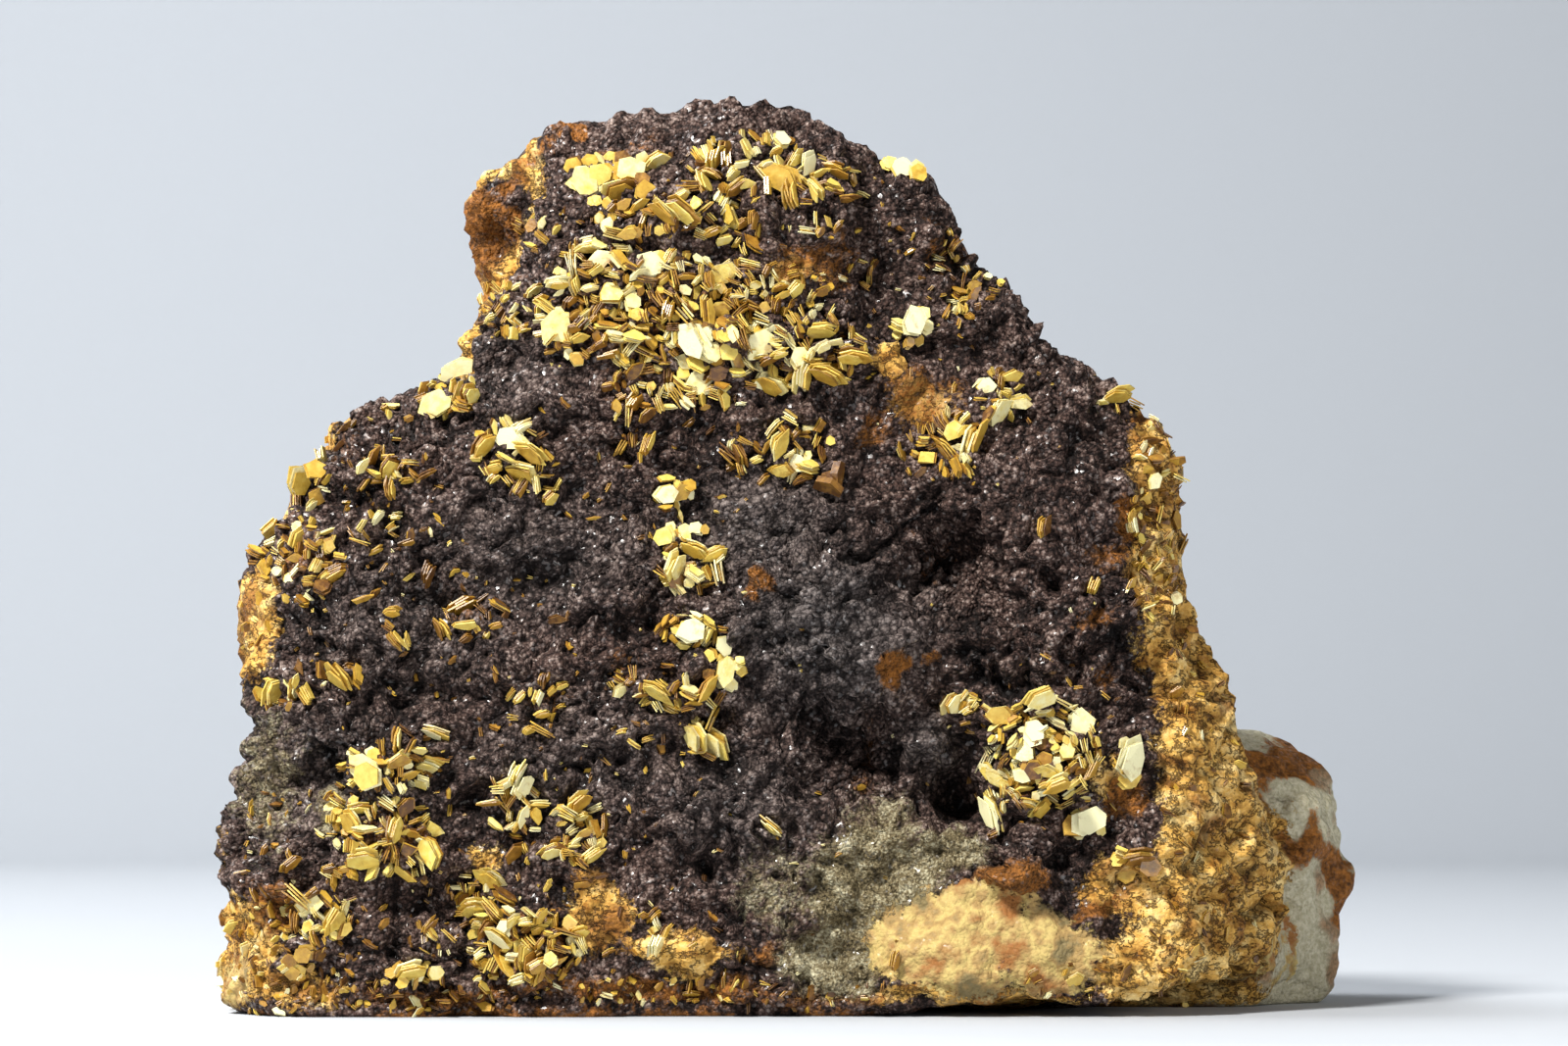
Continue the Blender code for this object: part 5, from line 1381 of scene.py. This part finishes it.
@dataclass(frozen=True)
class MicaFinish:
    """Golden sericite: pearly cream to gold sheets, brown striated edges, rust in places."""

    brown: Colour = linear(92, 56, 18)
    rusty: Colour = linear(168, 120, 40)
    gold: Colour = linear(212, 170, 62)
    straw: Colour = linear(240, 214, 108)
    cream: Colour = linear(252, 245, 192)
    edge: Colour = linear(88, 54, 16)

    def material(self) -> bpy.types.Material:
        """Builds the material.

        Returns:
            The tablets' material.
        """
        n = Nodes("sericite_mica")
        mottle = n.noise(1.6, 3.0, 0.6, 2.0)
        tone = n.attribute("tint") + (mottle - 0.5) * 0.5 + 0.06
        stops = [
            (0.04, self.brown), (0.24, self.rusty), (0.46, self.gold), (0.7, self.straw),
            (0.98, self.cream),
        ]
        colour = n.mix(n.attribute("rim") * 0.75, n.ramp(tone, stops), self.edge)
        stain = n.noise(0.6, 4.0, 0.65, 7.0).between(0.55, 0.66)
        colour = n.mix(stain * 0.45, colour, self.rusty)
        rough = 0.28 + mottle * 0.3
        relief = n.bump(n.noise(5.0, 2.0, 0.6, 5.0), 0.035)
        return n.finish(
            {"Base Color": colour, "Roughness": rough, "Normal": relief},
            Specular_IOR_Level=0.6, Coat_Weight=0.2, Coat_Roughness=0.15,
        )


# The studio


class Lamp(NamedTuple):
    """A soft square light: its place, side in millimetres, power, colour and target."""

    name: str
    place: tuple[float, float, float]
    size: float
    watts: float
    colour: Colour
    target: tuple[float, float, float] = (0.0, -5.0, 34.0)


LAMPS = (
    Lamp("key", (-240.0, -330.0, 420.0), 80.0, 5.2, (1.0, 0.985, 0.95)),
    Lamp("fill", (420.0, -380.0, 160.0), 240.0, 0.9, (1.0, 1.0, 1.0)),
    Lamp("rim", (-330.0, 60.0, 480.0), 260.0, 2.6, (0.97, 0.99, 1.0)),
    Lamp("wall_wash", (-300.0, 330.0, 520.0), 300.0, 3.2, (0.97, 0.99, 1.0), (-40.0, 800.0, 120.0)),
)


@dataclass
class Studio:
    """Floor and backdrop in one sweep, soft lights, and the camera at the photograph's angle."""

    floor_size: float = 2400.0
    wall_distance: float = 800.0  # far enough that the specimen can be seen from behind
    wall_height: float = 900.0
    curve_radius: float = 220.0
    curve_steps: int = 24
    paper: Colour = linear(184, 188, 194)
    surroundings: Colour = (0.88, 0.94, 1.0)
    surroundings_strength: float = 0.12
    clip_range: tuple[float, float] = (0.01, 10.0)  # in metres

    def sweep(self) -> bpy.types.Object:
        """The floor, which curves up into the backdrop.

        Returns:
            The sweep.
        """
        bm = bmesh.new()
        half = self.floor_size / 2
        curve_start = self.wall_distance - self.curve_radius
        edge = bm.edges.new([bm.verts.new((side, -self.floor_size, 0.0)) for side in (-half, half)])

        def drawn(edges: Sequence[Any], step: Sequence[float]) -> list[Any]:
            """Draws edges out by a step, and returns the new corners and edges."""
            made = bmesh.ops.extrude_edge_only(bm, edges=edges)["geom"]
            corners = [item for item in made if isinstance(item, bmesh.types.BMVert)]
            bmesh.ops.translate(bm, verts=corners, vec=step)
            return corners + [item for item in made if isinstance(item, bmesh.types.BMEdge)]

        front = drawn([edge], (0.0, curve_start + self.floor_size, 0.0))
        curved = bmesh.ops.spin(
            bm, geom=front, cent=(0.0, curve_start, self.curve_radius), axis=(1.0, 0.0, 0.0),
            dvec=(0.0, 0.0, 0.0), angle=math.pi / 2, steps=self.curve_steps, use_merge=False,
        )["geom_last"]
        top = [item for item in curved if isinstance(item, bmesh.types.BMEdge)]
        drawn(top, (0.0, 0.0, self.wall_height))
        bmesh.ops.recalc_face_normals(bm, faces=bm.faces)
        for face in bm.faces:
            face.smooth = True
        made = new_object("studio_sweep", bm)
        n = Nodes("studio_paper")
        fibre = n.noise(0.6, 3.0, 0.5, 1.0)
        colour = n.mix(fibre * 0.12, self.paper, tuple(c * 0.86 for c in self.paper))
        made.data.materials.append(n.finish({"Base Color": colour}, Roughness=0.85))
        made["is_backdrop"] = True
        return made

    def aimed(self, name: str, data: Any, place: Vector, target: Vector) -> bpy.types.Object:
        """A light or camera, at one place and aimed at another, both in millimetres."""
        made = bpy.data.objects.new(name, data)
        made.location = place * METRES_PER_MM
        made.rotation_euler = (target - place).to_track_quat("-Z", "Y").to_euler()
        bpy.context.scene.collection.objects.link(made)
        return made

    def build(self) -> None:
        """Sets up sweep, lights, surroundings and camera."""
        self.sweep()
        for lamp in LAMPS:
            light = bpy.data.lights.new(lamp.name, "AREA")
            light.size = lamp.size * METRES_PER_MM
            light.energy = lamp.watts
            light.color = lamp.colour
            self.aimed(lamp.name, light, Vector(lamp.place), Vector(lamp.target))
        scene = bpy.context.scene
        world = bpy.data.worlds.new("surroundings")
        world.use_nodes = True
        around = world.node_tree.nodes["Background"].inputs
        around["Color"].default_value = (*self.surroundings, 1.0)
        around["Strength"].default_value = self.surroundings_strength
        scene.world = world
        scene.view_settings.view_transform = "Standard"
        camera = bpy.data.cameras.new("camera")
        camera.sensor_width = SENSOR_WIDTH
        camera.lens = SENSOR_WIDTH * (AIM - EYE).length / PLANE_WIDTH
        camera.clip_start, camera.clip_end = self.clip_range
        scene.camera = self.aimed("camera", camera, EYE, AIM)


def main() -> None:
    """Builds the rock, the tablets and the studio in order, and reports each piece."""
    noise.seed_set(NOISE_SEED)
    logging.basicConfig(level=logging.INFO, format="%(name)s: %(message)s")
    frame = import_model()
    model_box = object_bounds()
    rock, surface = Rock(model_box).build(frame["nodes"]["rock"])
    rock.data.materials.append(CrustFinish().material())
    LOG.info("%s: %d faces", rock.name, len(rock.data.polygons))
    mica = MicaFinish().material()
    for piece in Tablets(surface, model_box).build(frame["nodes"]):
        piece.data.materials.append(mica)
        LOG.info("%s: %d faces", piece.name, len(piece.data.polygons))
    for name, node in frame["nodes"].items():
        if not node.hide_render:
            node.data.materials.clear()
            node.data.materials.append(mica)
            LOG.info("%s keeps its solid", name)
    Studio().build()


if __name__ == "__main__":
    main()
